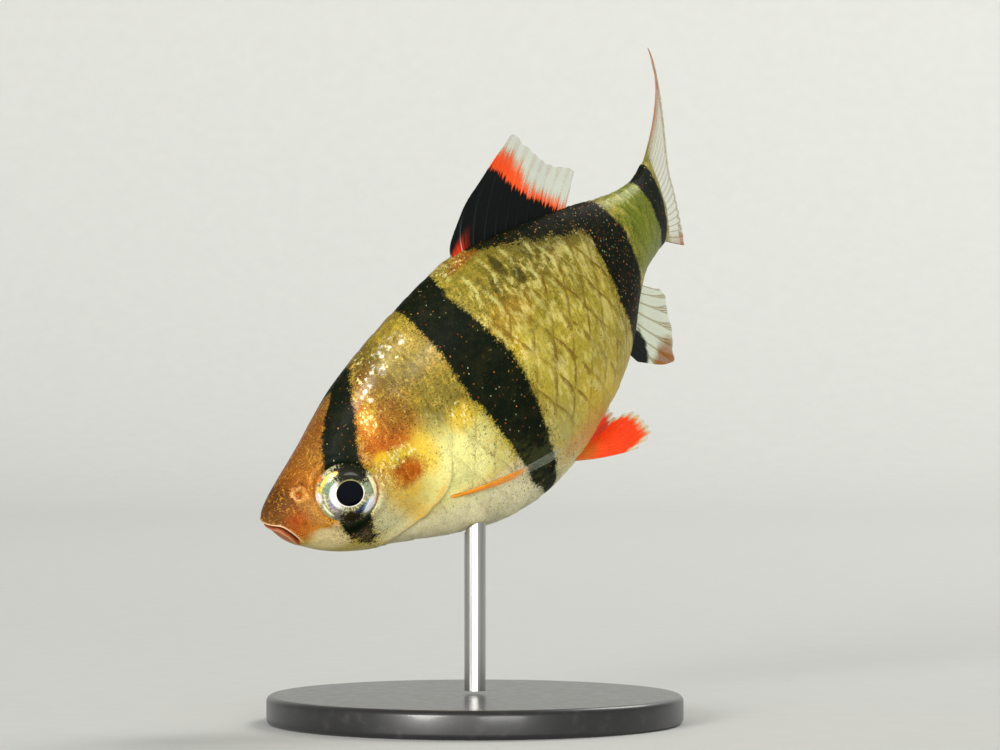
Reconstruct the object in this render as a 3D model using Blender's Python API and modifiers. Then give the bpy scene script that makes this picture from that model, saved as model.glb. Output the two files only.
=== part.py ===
"""A tiger barb at life size, dipping its head and turning its tail away, on a plain stand.

Metres, +Z up, with the origin in the middle of the stand's underside. The fish is worked
out straight first, in parts of its standard length: s runs back from the snout, y to the
fish's own right and z up its back. Its points are then bent, twisted, tilted and placed.
"""
import math

import bmesh
import bpy
import numpy as np
from mathutils import Vector
from mathutils.bvhtree import BVHTree

# Driving sizes in metres
STANDARD_LENGTH = 0.050
GAP = 0.0003
STAND_RADIUS = 0.0175
STAND_THICKNESS = 0.0024
STAND_EDGE = 0.0005
ROD_RADIUS = 0.0009

# Pose: how the straight fish is bent and set
BEND = ((0.0, 0.0), (0.25, 0.25), (0.5, 1.56), (0.75, 1.17), (1.0, 1.10), (1.4, 1.10))
TAIL_TWIST = math.radians(7.3)
TURN = math.radians(10.4)
DIP = math.radians(-29.3)
BANK = math.radians(27.4)
PIVOT = 0.45
FISH_PLACE = (0.0016, -0.0014, 0.0283)

# Outlines in parts of the standard length: place along the fish, then height or half width
BACK = (
    (0.0, -0.006), (0.006, 0.006), (0.023, 0.021), (0.057, 0.044), (0.111, 0.079), (0.155, 0.111),
    (0.197, 0.139), (0.232, 0.157), (0.335, 0.199), (0.43, 0.225), (0.48, 0.234), (0.60, 0.212),
    (0.724, 0.171), (0.827, 0.125), (0.90, 0.097), (0.95, 0.084), (1.0, 0.084),
)
BELLY = (
    (0.0, -0.006), (0.004, -0.024), (0.02, -0.060), (0.039, -0.081), (0.069, -0.108),
    (0.112, -0.134), (0.154, -0.150), (0.197, -0.166), (0.287, -0.203), (0.368, -0.227),
    (0.455, -0.230), (0.518, -0.220), (0.615, -0.191), (0.69, -0.170), (0.747, -0.143),
    (0.80, -0.098), (0.85, -0.068), (0.93, -0.064), (1.0, -0.077),
)
HALF_WIDTH = (
    (0.0, 0.0), (0.003, 0.013), (0.01, 0.0235), (0.03, 0.039), (0.06, 0.053), (0.10, 0.067),
    (0.145, 0.078), (0.20, 0.086), (0.28, 0.092), (0.38, 0.097), (0.48, 0.095), (0.60, 0.083),
    (0.72, 0.061), (0.85, 0.039), (0.93, 0.029), (1.0, 0.021),
)
WIDEST_PART = 0.49
BACK_SHARPNESS = 1.12
BELLY_SHARPNESS = ((0.0, 0.95), (0.5, 0.95), (0.68, 1.2), (0.78, 1.5), (0.90, 1.3), (1.0, 1.1))

# Where one piece of the body ends and the next begins
GILL_OPENING = (
    (0.0, 0.262), (35.0, 0.270), (60.0, 0.292), (85.0, 0.314), (100.0, 0.306), (112.0, 0.284),
    (125.0, 0.232), (140.0, 0.180), (160.0, 0.150), (180.0, 0.142),
)
TAIL_STEM_START = 0.864

# Relief of the head, in parts of the standard length
GILL_COVER_RISE = 0.0055
GILL_COVER_FADE = 0.045
CHEEK_RIDGE_RISE = 0.0035
LIP_RISE = 0.0030
LIP_DISTANCE = 0.0085
LIP_WIDTH = 0.0055
ORBIT_RISE = 0.0060

# Mouth: a slit running down and back from the front of the snout
MOUTH_START = (0.0, -0.015)
MOUTH_SLOPE = math.radians(-50.5)
MOUTH_LENGTH = 0.059
MOUTH_OPENING = 0.0045

# Eyes and nostrils
EYE_PLACE = (0.136, -0.003)
EYE_RADIUS = 0.054
EYE_HALF_THICKNESS = 0.026
EYE_DEPTH = 0.012
NOSTRIL_PLACE = (0.066, 0.022)
NOSTRIL_RING = 0.010
NOSTRIL_RIM = 0.0042
NOSTRIL_PIT = 0.0075

# Fineness of the surfaces
AROUND = 44
HEAD_RINGS = 24
TRUNK_RINGS = 24
STEM_RINGS = 7
RAY_STEPS = 9

# Fins: thickness in metres, halved, at the root and at the margin
RAY_HALF_ROOT = 0.00040
RAY_HALF_TIP = 0.00012
WEB_HALF_ROOT = 0.00026
WEB_HALF_TIP = 0.00008

DORSAL_ROOT = (0.478, 0.722)
DORSAL_MARGIN = (
    (0.0, (0.495, 0.0, 0.262)), (0.09, (0.545, 0.0, 0.302)), (0.18, (0.620, 0.002, 0.331)),
    (0.27, (0.682, 0.006, 0.344)), (0.40, (0.704, 0.010, 0.315)), (0.55, (0.722, 0.012, 0.279)),
    (0.75, (0.752, 0.012, 0.238)), (0.90, (0.782, 0.010, 0.214)), (1.0, (0.793, 0.008, 0.200)),
)
ANAL_ROOT = (0.748, 0.842)
ANAL_MARGIN = (
    (0.0, (0.770, 0.0, -0.180)), (0.12, (0.822, 0.0, -0.222)), (0.25, (0.884, 0.002, -0.258)),
    (0.42, (0.906, 0.004, -0.236)), (0.60, (0.926, 0.006, -0.204)), (0.80, (0.944, 0.008, -0.166)),
    (1.0, (0.932, 0.009, -0.134)),
)
TAIL_SWAY = -0.010
TAIL_ROOT = (0.078, -0.070)
TAIL_MARGIN = (
    (0.0, (1.285, 0.0, 0.163)), (0.05, (1.303, 0.0, 0.152)), (0.12, (1.285, 0.0, 0.125)),
    (0.25, (1.222, 0.0, 0.073)), (0.38, (1.165, 0.0, 0.028)), (0.50, (1.138, 0.0, -0.008)),
    (0.62, (1.155, 0.004, -0.052)), (0.75, (1.192, 0.012, -0.110)), (0.88, (1.235, 0.022, -0.170)),
    (0.95, (1.248, 0.026, -0.200)), (1.0, (1.230, 0.026, -0.212)),
)
PECTORAL_RAYS = 8
PECTORAL_ROOT = ((0.285, -0.100), (0.291, -0.118))
PECTORAL_FOLDED = (
    (0.0, (0.446, 0.106, -0.108)), (0.15, (0.466, 0.108, -0.112)), (0.5, (0.472, 0.106, -0.121)),
    (0.8, (0.464, 0.103, -0.129)), (1.0, (0.450, 0.100, -0.133)),
)
PECTORAL_OPEN = (
    (0.0, (0.432, 0.137, -0.098)), (0.15, (0.452, 0.140, -0.108)), (0.5, (0.454, 0.133, -0.140)),
    (0.8, (0.432, 0.122, -0.163)), (1.0, (0.405, 0.113, -0.172)),
)
PELVIC_RAYS = 9
PELVIC_ROOT = ((0.512, -0.196), (0.546, -0.207))
PELVIC_MARGIN = (
    (0.0, (0.642, 0.042, -0.268)), (0.18, (0.683, 0.038, -0.272)), (0.5, (0.690, 0.032, -0.245)),
    (0.8, (0.672, 0.026, -0.213)), (1.0, (0.640, 0.022, -0.203)),
)


def smooth(knots, at):
    """Heights of a smooth curve through (place, height) knots, at the given places."""
    x = np.array([k[0] for k in knots], float)
    y = np.array([k[1] for k in knots], float)
    at = np.clip(np.asarray(at, float), x[0], x[-1])
    step = np.diff(x)
    slope = (np.diff(y, axis=0).T / step).T
    inner = ((slope[:-1].T * step[1:] + slope[1:].T * step[:-1]) / (step[1:] + step[:-1])).T
    tangent = np.concatenate([slope[:1], inner, slope[-1:]])
    i = np.clip(np.searchsorted(x, at, side="right") - 1, 0, len(step) - 1)
    t = (at - x[i]) / step[i]
    if y.ndim == 2:
        t = t[..., None]
        width = step[i][..., None]
    else:
        width = step[i]
    start = y[i] * (1 + 2 * t) * (1 - t) ** 2 + tangent[i] * width * t * (1 - t) ** 2
    end = y[i + 1] * t * t * (3 - 2 * t) + tangent[i + 1] * width * t * t * (t - 1)
    return start + end


def blunt(knots, s):
    """The same, worked out against the root of the distance, so that the snout is round."""
    return smooth([(math.sqrt(k[0]), k[1]) for k in knots], np.sqrt(np.maximum(s, 0.0)))


def skin(s, a):
    """Points of the plain body. a turns from the back (0) by the left side to the belly (pi)."""
    top = blunt(BACK, s)
    bottom = blunt(BELLY, s)
    wide = blunt(HALF_WIDTH, s)
    middle = bottom + WIDEST_PART * (top - bottom)
    reach = np.where(np.cos(a) > 0, top - middle, middle - bottom)
    power = np.where(np.cos(a) > 0, BACK_SHARPNESS, smooth(BELLY_SHARPNESS, s))
    y = -wide * np.sign(np.sin(a)) * np.abs(np.sin(a)) ** power
    return np.stack([s + 0.0 * a, y, middle + reach * np.cos(a)], axis=-1)


def skin_normal(s, a):
    """Outward directions of the plain body at the same places."""
    small = 1e-4
    along = skin(s + small, a) - skin(s, a)
    round_it = skin(s, a + small) - skin(s, a - small)
    normal = np.cross(round_it, along)
    return normal / np.maximum(np.linalg.norm(normal, axis=-1, keepdims=True), 1e-12)


def side_angle(s, z):
    """The angle at which the left side of the body reaches height z."""
    top = blunt(BACK, s)
    bottom = blunt(BELLY, s)
    middle = bottom + WIDEST_PART * (top - bottom)
    reach = top - middle if z > middle else middle - bottom
    return math.acos(max(-1.0, min(1.0, float((z - middle) / reach))))


def gill_opening(a):
    """How far back the head reaches at angle a, alike on both sides."""
    turned = np.degrees(np.abs((a + math.pi) % (2 * math.pi) - math.pi))
    return smooth(GILL_OPENING, turned)


def bump(distance, width):
    return np.exp(-(distance / width) ** 2)


def fade(value, start, end):
    t = np.clip((value - start) / (end - start), 0.0, 1.0)
    return t * t * (3 - 2 * t)


def head_relief(points, s, a):
    """How far lips, eye rims, cheek and gill cover stand out from the plain body."""
    side = np.abs(np.sin(a))
    before_edge = gill_opening(a) - s
    cover = GILL_COVER_RISE * (1 - fade(before_edge, 0.0, GILL_COVER_FADE)) * side ** 0.7
    cheek_place = 0.222 + 0.35 * (points[..., 2] + 0.02) ** 2 - 0.25 * np.minimum(points[..., 2] + 0.05, 0)
    low = fade(points[..., 2], 0.07, 0.0)
    cheek = CHEEK_RIDGE_RISE * bump(s - cheek_place, 0.016) * low * side
    du = s - MOUTH_START[0]
    dv = points[..., 2] - MOUTH_START[1]
    along = du * math.cos(MOUTH_SLOPE) + dv * math.sin(MOUTH_SLOPE)
    across = np.abs(dv * math.cos(MOUTH_SLOPE) - du * math.sin(MOUTH_SLOPE))
    lips = LIP_RISE * bump(across - LIP_DISTANCE, LIP_WIDTH) * (1 - fade(along, 0.052, 0.072))
    from_eye = np.hypot(s - EYE_PLACE[0], points[..., 2] - EYE_PLACE[1])
    orbit = ORBIT_RISE * bump(from_eye - EYE_RADIUS - 0.004, 0.012) * side
    return cover + cheek + lips + orbit


def bend_line():
    """Middle line of the bent fish seen from above: place, x, y and heading."""
    s = np.linspace(0.0, 1.4, 281)
    curve = np.interp(s, [k[0] for k in BEND], [k[1] for k in BEND])
    step = np.diff(s)
    heading = np.concatenate([[0.0], np.cumsum((curve[1:] + curve[:-1]) / 2 * step)])
    half = (heading[1:] + heading[:-1]) / 2
    x = np.concatenate([[0.0], np.cumsum(np.cos(half) * step)])
    y = np.concatenate([[0.0], np.cumsum(np.sin(half) * step)])
    return s, x, y, heading


BEND_LINE = bend_line()


def turn_matrix():
    """Bank about the fish's length, then turn, then dip the head."""
    cx, sx = math.cos(BANK), math.sin(BANK)
    cz, sz = math.cos(TURN), math.sin(TURN)
    cy, sy = math.cos(DIP), math.sin(DIP)
    bank = np.array([[1, 0, 0], [0, cx, -sx], [0, sx, cx]])
    turn = np.array([[cz, -sz, 0], [sz, cz, 0], [0, 0, 1]])
    dip = np.array([[cy, 0, sy], [0, 1, 0], [-sy, 0, cy]])
    return dip @ turn @ bank


def posed(points):
    """World places, in metres, of points of the straight fish."""
    points = np.asarray(points, float)
    s, y, z = points[..., 0], points[..., 1], points[..., 2]
    twist = TAIL_TWIST * fade(s, 0.4, 1.2)
    side = y * np.cos(twist) - z * np.sin(twist)
    up = y * np.sin(twist) + z * np.cos(twist)
    places, line_x, line_y, line_heading = BEND_LINE
    x0 = np.interp(s, places, line_x) + np.minimum(s, 0.0)
    y0 = np.interp(s, places, line_y)
    heading = np.interp(s, places, line_heading)
    bent = np.stack([x0 - side * np.sin(heading) - PIVOT, y0 + side * np.cos(heading), up], -1)
    return bent @ turn_matrix().T * STANDARD_LENGTH + np.array(FISH_PLACE)


def material(name, colour, roughness, metallic=0.0):
    made = bpy.data.materials.new(name)
    made.use_nodes = True
    shader = made.node_tree.nodes["Principled BSDF"]
    shader.inputs["Base Color"].default_value = (*colour, 1.0)
    shader.inputs["Roughness"].default_value = roughness
    shader.inputs["Metallic"].default_value = metallic
    made.diffuse_color = (*colour, 1.0)
    return made


def finish(name, mesh_builder, collection, look):
    """Turn a bmesh into a named object with outward faces."""
    mesh_builder.normal_update()
    bmesh.ops.recalc_face_normals(mesh_builder, faces=mesh_builder.faces)
    mesh = bpy.data.meshes.new(name)
    mesh_builder.to_mesh(mesh)
    mesh_builder.free()
    mesh.shade_smooth()
    mesh.set_sharp_from_angle(angle=math.radians(40))
    obj = bpy.data.objects.new(name, mesh)
    if look is not None:
        mesh.materials.append(look)
    collection.objects.link(obj)
    return obj


def loft(rings, pole=None):
    """A closed mesh through rings of points, closed across from side to side at its ends."""
    built = bmesh.new()
    rows = [[built.verts.new(p) for p in ring] for ring in rings]
    count = len(rows[0])
    for near, far in zip(rows, rows[1:]):
        for i in range(count):
            j = (i + 1) % count
            built.faces.new((near[i], near[j], far[j], far[i]))
    ends = [rows[-1]]
    if pole is None:
        ends.append(rows[0])
    else:
        tip = built.verts.new(pole)
        for i in range(count):
            built.faces.new((rows[0][(i + 1) % count], rows[0][i], tip))
    for ring in ends:
        for i in range(count // 2):
            corners = [ring[i], ring[i + 1], ring[-i - 1], ring[-i % count]]
            built.faces.new(dict.fromkeys(corners))
    bmesh.ops.triangulate(built, faces=built.faces)
    return built


def body_piece(name, starts, ends, rings, spread, relief, collection, look, pole=None):
    """A length of the body between two lines drawn round it."""
    a = np.arange(AROUND) * 2 * math.pi / AROUND
    loops = []
    for k in range(rings + 1):
        t = k / rings if pole is None else (k + 1) / (rings + 1)
        s = starts(a) + (ends(a) - starts(a)) * t ** spread
        points = skin(s, a)
        if relief:
            points = points + skin_normal(s, a) * head_relief(points, s, a)[..., None]
        loops.append(posed(points))
    tip = None if pole is None else posed(np.array(pole))
    return finish(name, loft(loops, tip), collection, look)


def even(value):
    return lambda a: value + 0.0 * a


def round_solid(name, kind, centre, normal, sizes, collection, look):
    """An ellipsoid or a ring set on the straight fish facing along normal, then posed."""
    built = bmesh.new()
    if kind == "ellipsoid":
        bmesh.ops.create_uvsphere(built, u_segments=24, v_segments=12, radius=1.0)
        for v in built.verts:
            v.co = Vector((v.co.x * sizes[0], v.co.y * sizes[0], v.co.z * sizes[1]))
    else:
        ring_of_rings(built, sizes[0], sizes[1])
    turn = Vector(normal).to_track_quat("Z", "Y").to_matrix()
    for v in built.verts:
        v.co = turn @ v.co + Vector(centre)
    for v, place in zip(built.verts, posed(np.array([v.co[:] for v in built.verts]))):
        v.co = place
    return finish(name, built, collection, look)


def ring_of_rings(built, radius, thickness, around=14, section=8):
    """A torus about Z."""
    rows = []
    for i in range(around):
        turn = 2 * math.pi * i / around
        row = []
        for j in range(section):
            tilt = 2 * math.pi * j / section
            out = radius + thickness * math.cos(tilt)
            place = (out * math.cos(turn), out * math.sin(turn), thickness * math.sin(tilt))
            row.append(built.verts.new(place))
        rows.append(row)
    for i in range(around):
        near, far = rows[i], rows[(i + 1) % around]
        for j in range(section):
            k = (j + 1) % section
            built.faces.new((near[j], far[j], far[k], near[k]))


def apply_boolean(obj, other, operation):
    """Join other to obj, or cut it away, and keep the result."""
    change = obj.modifiers.new(operation, "BOOLEAN")
    change.operation = operation
    change.solver = "EXACT"
    change.object = other
    bpy.context.view_layer.update()
    seen = obj.evaluated_get(bpy.context.evaluated_depsgraph_get())
    mesh = bpy.data.meshes.new_from_object(seen)
    obj.modifiers.clear()
    obj.data = mesh
    bpy.data.objects.remove(other)


def surface_place(s, z, side, depth=0.0):
    """A point on the flank, sunk by depth, with its outward direction. side is -1 for left."""
    a = side_angle(s, z)
    point = skin(np.array(s), np.array(a))
    normal = skin_normal(np.array(s), np.array(a))
    flip = np.array([1.0, -side, 1.0])
    return (point - depth * normal) * flip, normal * flip


def add_head(collection, cutters, look):
    head = body_piece(
        "head", even(0.0), gill_opening, HEAD_RINGS, 1.55, True, collection, look,
        pole=(-0.0003, 0.0, BACK[0][1]),
    )
    grown = GAP / STANDARD_LENGTH
    for side in (-1, 1):
        centre, normal = surface_place(*EYE_PLACE, side, EYE_DEPTH)
        sizes = (EYE_RADIUS + grown, EYE_HALF_THICKNESS + grown)
        socket = round_solid("socket", "ellipsoid", centre, normal, sizes, cutters, None)
        apply_boolean(head, socket, "DIFFERENCE")
        centre, normal = surface_place(*NOSTRIL_PLACE, side, 0.0)
        sizes = (NOSTRIL_RING, NOSTRIL_RIM)
        rim = round_solid("rim", "ring", centre, normal, sizes, cutters, None)
        apply_boolean(head, rim, "UNION")
        sizes = (NOSTRIL_PIT, NOSTRIL_PIT)
        pit = round_solid("pit", "ellipsoid", centre, normal, sizes, cutters, None)
        apply_boolean(head, pit, "DIFFERENCE")
    apply_boolean(head, mouth_cutter(cutters), "DIFFERENCE")
    return head


def mouth_cutter(cutters):
    """A thin slab across the snout, with its rear end at the corners of the mouth."""
    built = bmesh.new()
    bmesh.ops.create_cube(built, size=1.0)
    start = np.array([MOUTH_START[0], 0.0, MOUTH_START[1]])
    along = np.array([math.cos(MOUTH_SLOPE), 0.0, math.sin(MOUTH_SLOPE)])
    across = np.array([-math.sin(MOUTH_SLOPE), 0.0, math.cos(MOUTH_SLOPE)])
    before = 0.05
    for v in built.verts:
        reach = -before if v.co.x < 0 else MOUTH_LENGTH
        thick = MOUTH_OPENING * v.co.z
        place = start + along * reach + across * thick + np.array([0.0, v.co.y * 0.2, 0.0])
        v.co = posed(place)
    return finish("mouth", built, cutters, None)


def add_eye(name, side, collection, look):
    centre, normal = surface_place(*EYE_PLACE, side, EYE_DEPTH)
    sizes = (EYE_RADIUS, EYE_HALF_THICKNESS)
    return round_solid(name, "ellipsoid", centre, normal, sizes, collection, look)


def fin_grid(roots, margin, rays, bow, facing, sway=0.0):
    """Middle surface of a fin: ray points from the root line out to the margin."""
    columns = 2 * rays - 1
    steps = np.linspace(0.0, 1.0, RAY_STEPS + 1)
    grid = np.zeros((columns, RAY_STEPS + 1, 3))
    for i in range(columns):
        f = i / (columns - 1)
        root = roots(f)
        tip = smooth(margin, np.array([f]))[0]
        if i % 2 == 1:
            tip = tip + (root - tip) * 0.035
        chord = tip - root
        lift = np.cross(facing, chord)
        middle = (root + tip) / 2 + lift * bow(f)
        t = steps[:, None]
        aside = np.array([0.0, sway, 0.0]) * 4 * t * (1 - t)
        grid[i] = root * (1 - t) ** 2 + 2 * middle * t * (1 - t) + tip * t * t + aside
    return grid


def fin_solid(name, grid, collection, look):
    """A closed thin fin, split into like triangles on both faces, with its rays raised."""
    flat = grid.reshape(-1, 3)
    world = posed(flat).reshape(grid.shape)
    along = np.gradient(world, axis=1)
    across = np.gradient(world, axis=0)
    normal = np.cross(along, across)
    normal /= np.linalg.norm(normal, axis=-1, keepdims=True)
    columns, steps = grid.shape[:2]
    t = np.linspace(0.0, 1.0, steps)[None, :, None]
    is_ray = (np.arange(columns) % 2 == 0)[:, None, None]
    ray = RAY_HALF_ROOT + (RAY_HALF_TIP - RAY_HALF_ROOT) * t
    web = WEB_HALF_ROOT + (WEB_HALF_TIP - WEB_HALF_ROOT) * t ** 2
    half = np.where(is_ray, ray, web)
    built = bmesh.new()
    faces = []
    for way in (1, -1):
        faces.append([[built.verts.new(p) for p in row] for row in world + way * half * normal])
    for way, side in enumerate(faces):
        for i in range(columns - 1):
            for j in range(steps - 1):
                a, b = side[i][j], side[i + 1][j]
                c, d = side[i + 1][j + 1], side[i][j + 1]
                for triple in ((a, b, c), (a, c, d)):
                    built.faces.new(triple if way == 0 else triple[::-1])
    border = [(i, 0) for i in range(columns)]
    border += [(columns - 1, j) for j in range(1, steps)]
    border += [(i, steps - 1) for i in range(columns - 2, -1, -1)]
    border += [(0, j) for j in range(steps - 2, 0, -1)]
    for (i, j), (k, m) in zip(border, border[1:] + border[:1]):
        near, far = faces[0][i][j], faces[0][k][m]
        under, beyond = faces[1][i][j], faces[1][k][m]
        built.faces.new((near, under, beyond))
        built.faces.new((near, beyond, far))
    return finish(name, built, collection, look)


def add_middle_fins(collection, look_dorsal, look_anal, look_tail):
    clear = GAP / STANDARD_LENGTH
    facing = np.array([0.0, 1.0, 0.0])

    def dorsal_root(f):
        s = DORSAL_ROOT[0] + (DORSAL_ROOT[1] - DORSAL_ROOT[0]) * f
        return np.array([s, 0.0, float(blunt(BACK, s)) + clear])

    def anal_root(f):
        s = ANAL_ROOT[0] + (ANAL_ROOT[1] - ANAL_ROOT[0]) * f
        return np.array([s, 0.0, float(blunt(BELLY, s)) - clear])

    def tail_root(f):
        return np.array([1.0 + clear, 0.0, TAIL_ROOT[0] + (TAIL_ROOT[1] - TAIL_ROOT[0]) * f])

    dorsal = fin_grid(dorsal_root, DORSAL_MARGIN, 12, lambda f: -0.23 + 0.17 * f, facing)
    fin_solid("dorsal_fin", dorsal, collection, look_dorsal)
    anal = fin_grid(anal_root, ANAL_MARGIN, 8, lambda f: 0.08 - 0.02 * f, facing)
    fin_solid("anal_fin", anal, collection, look_anal)
    tail = fin_grid(tail_root, TAIL_MARGIN, 19, lambda f: 0.06 * (2 * f - 1), facing, TAIL_SWAY)
    fin_solid("caudal_fin", tail, collection, look_tail)


def add_paired_fin(name, side, ends, margin, rays, bow, collection, look):
    """A pectoral or pelvic fin, its root lying along the flank. side is -1 for left."""
    off_skin = (GAP + RAY_HALF_ROOT) / STANDARD_LENGTH
    start, stop = (surface_place(*end, side, -off_skin)[0] for end in ends)
    sided = [(k[0], (k[1][0], side * k[1][1], k[1][2])) for k in margin]
    facing = np.array([0.0, float(side), 0.0])
    grid = fin_grid(lambda f: start + (stop - start) * f, sided, rays, bow, facing)
    return fin_solid(name, grid, collection, look)


def add_paired_fins(collection, look_clear, look_red):
    for side, name, margin in ((-1, "left", PECTORAL_FOLDED), (1, "right", PECTORAL_OPEN)):
        add_paired_fin(
            "pectoral_fin_" + name, side, PECTORAL_ROOT, margin, PECTORAL_RAYS,
            lambda f: 0.03 * side, collection, look_clear,
        )
        add_paired_fin(
            "pelvic_fin_" + name, side, PELVIC_ROOT, PELVIC_MARGIN, PELVIC_RAYS,
            lambda f: 0.05 * side, collection, look_red,
        )


def add_stand(collection, look_base, look_rod, trunk):
    """A round base and one rod, whose top follows the underside of the belly."""
    bpy.ops.mesh.primitive_cylinder_add(
        vertices=72, radius=STAND_RADIUS, depth=STAND_THICKNESS,
        location=(0.0, 0.0, STAND_THICKNESS / 2),
    )
    base = bpy.context.object
    edge = base.modifiers.new("edge", "BEVEL")
    edge.width = STAND_EDGE
    edge.segments = 3
    edge.limit_method = "ANGLE"
    set_up(base, "stand_base", collection, look_base)
    tree = BVHTree.FromObject(trunk, bpy.context.evaluated_depsgraph_get())
    foot = STAND_THICKNESS + GAP
    built = bmesh.new()
    bmesh.ops.create_cone(
        built, cap_ends=True, cap_tris=True, segments=24, radius1=ROD_RADIUS,
        radius2=ROD_RADIUS, depth=2.0,
    )
    for v in built.verts:
        if v.co.z < 0:
            v.co.z = foot
        else:
            below = Vector((v.co.x, v.co.y, 0.0))
            v.co.z = tree.ray_cast(below, Vector((0.0, 0.0, 1.0)))[0].z - 1.15 * GAP
    finish("stand_rod", built, collection, look_rod)


def set_up(obj, name, collection, look):
    """Name an object, give it its material and move it to its collection."""
    obj.name = name
    obj.data.name = name
    obj.data.materials.append(look)
    for old in list(obj.users_collection):
        old.objects.unlink(obj)
    collection.objects.link(obj)


def main():
    for obj in list(bpy.data.objects):
        bpy.data.objects.remove(obj)
    fish = bpy.data.collections.new("tiger_barb")
    cutters = bpy.data.collections.new("cutters")
    bpy.context.scene.collection.children.link(fish)
    bpy.context.scene.collection.children.link(cutters)
    flesh = material("golden_flank", (0.62, 0.50, 0.22), 0.35)
    eye = material("eye", (0.03, 0.03, 0.05), 0.1)
    black_fin = material("black_and_red_fin", (0.05, 0.03, 0.03), 0.4)
    clear_fin = material("clear_fin", (0.55, 0.52, 0.36), 0.4)
    red_fin = material("red_fin", (0.75, 0.10, 0.03), 0.4)
    dark_wood = material("dark_base", (0.03, 0.03, 0.03), 0.5)
    steel = material("steel_rod", (0.6, 0.6, 0.6), 0.25, 1.0)
    add_head(fish, cutters, flesh)
    trunk = body_piece(
        "trunk", lambda a: gill_opening(a) + GAP / STANDARD_LENGTH, even(TAIL_STEM_START),
        TRUNK_RINGS, 1.0, False, fish, flesh,
    )
    body_piece(
        "tail_stem", even(TAIL_STEM_START + GAP / STANDARD_LENGTH), even(1.0),
        STEM_RINGS, 1.0, False, fish, flesh,
    )
    add_eye("eye_left", -1, fish, eye)
    add_eye("eye_right", 1, fish, eye)
    add_middle_fins(fish, black_fin, clear_fin, clear_fin)
    add_paired_fins(fish, clear_fin, red_fin)
    add_stand(fish, dark_wood, steel, trunk)


main()
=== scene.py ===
# %% [markdown]
# # A tiger barb, scale by scale
#
# The solid model gives the fish its pose and its sizes. This lesson dresses it: one skin over the
# whole body, a coat of overlapping scales, glossy eyes, thin rayed fins, and a paint that is worked
# out from where a point lies on the fish. First the solid model is loaded as a fixed frame.

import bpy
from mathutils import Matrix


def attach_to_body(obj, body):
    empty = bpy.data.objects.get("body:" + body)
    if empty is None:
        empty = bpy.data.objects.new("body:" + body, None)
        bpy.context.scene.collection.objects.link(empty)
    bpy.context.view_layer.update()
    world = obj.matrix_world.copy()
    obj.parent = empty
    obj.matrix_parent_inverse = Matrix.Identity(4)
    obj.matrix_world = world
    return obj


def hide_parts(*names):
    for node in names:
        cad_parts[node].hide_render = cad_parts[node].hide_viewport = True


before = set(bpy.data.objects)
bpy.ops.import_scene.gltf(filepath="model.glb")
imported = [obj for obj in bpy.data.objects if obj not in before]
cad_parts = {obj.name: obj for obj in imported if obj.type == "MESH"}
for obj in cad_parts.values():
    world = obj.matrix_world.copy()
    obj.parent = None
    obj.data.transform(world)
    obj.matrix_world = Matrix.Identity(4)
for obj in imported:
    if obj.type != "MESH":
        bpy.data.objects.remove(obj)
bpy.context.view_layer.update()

import math

import bmesh
import bpy
import numpy as np
from mathutils import Vector

SCENE = bpy.context.scene
SEED = 12
draw = np.random.default_rng(SEED)

# %% [markdown]
# ## The body as a formula
#
# A fish body could be sculpted freely, but the markings, the scales and the fins all have to agree
# with it. So the body is a formula: `s` runs back from the snout, and `a` turns from the ridge of
# the back (0) over the left side to the belly (pi). Everything is in parts of the standard length,
# the distance from the snout to the root of the tail fin. The numbers are those of the solids.

# %% Outlines of the straight fish
STANDARD_LENGTH = 0.050
BACK = (
    (0.0, -0.006), (0.006, 0.006), (0.023, 0.021), (0.057, 0.044), (0.111, 0.079), (0.155, 0.111),
    (0.197, 0.139), (0.232, 0.157), (0.335, 0.199), (0.43, 0.225), (0.48, 0.234), (0.60, 0.212),
    (0.724, 0.171), (0.827, 0.125), (0.90, 0.097), (0.95, 0.084), (1.0, 0.084),
)
BELLY = (
    (0.0, -0.006), (0.004, -0.024), (0.02, -0.060), (0.039, -0.081), (0.069, -0.108),
    (0.112, -0.134), (0.154, -0.150), (0.197, -0.166), (0.287, -0.203), (0.368, -0.227),
    (0.455, -0.230), (0.518, -0.220), (0.615, -0.191), (0.69, -0.170), (0.747, -0.143),
    (0.80, -0.098), (0.85, -0.068), (0.93, -0.064), (1.0, -0.077),
)
HALF_WIDTH = (
    (0.0, 0.0), (0.003, 0.013), (0.01, 0.0235), (0.03, 0.039), (0.06, 0.053), (0.10, 0.067),
    (0.145, 0.078), (0.20, 0.086), (0.28, 0.092), (0.38, 0.097), (0.48, 0.095), (0.60, 0.083),
    (0.72, 0.061), (0.85, 0.039), (0.93, 0.029), (1.0, 0.021),
)
WIDEST_PART = 0.49
BACK_SHARPNESS = 1.12
BELLY_SHARPNESS = ((0.0, 0.95), (0.5, 0.95), (0.68, 1.2), (0.78, 1.5), (0.90, 1.3), (1.0, 1.1))
GILL_OPENING = (
    (0.0, 0.262), (35.0, 0.270), (60.0, 0.292), (85.0, 0.314), (100.0, 0.306), (112.0, 0.284),
    (125.0, 0.232), (140.0, 0.180), (160.0, 0.150), (180.0, 0.142),
)
TAIL_TAPER_START = 0.975
BODY_END = 1.035
print(len(BACK), "knots on the back,", len(BELLY), "on the belly,", len(HALF_WIDTH), "for the width")

# %% Smooth curves


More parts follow.
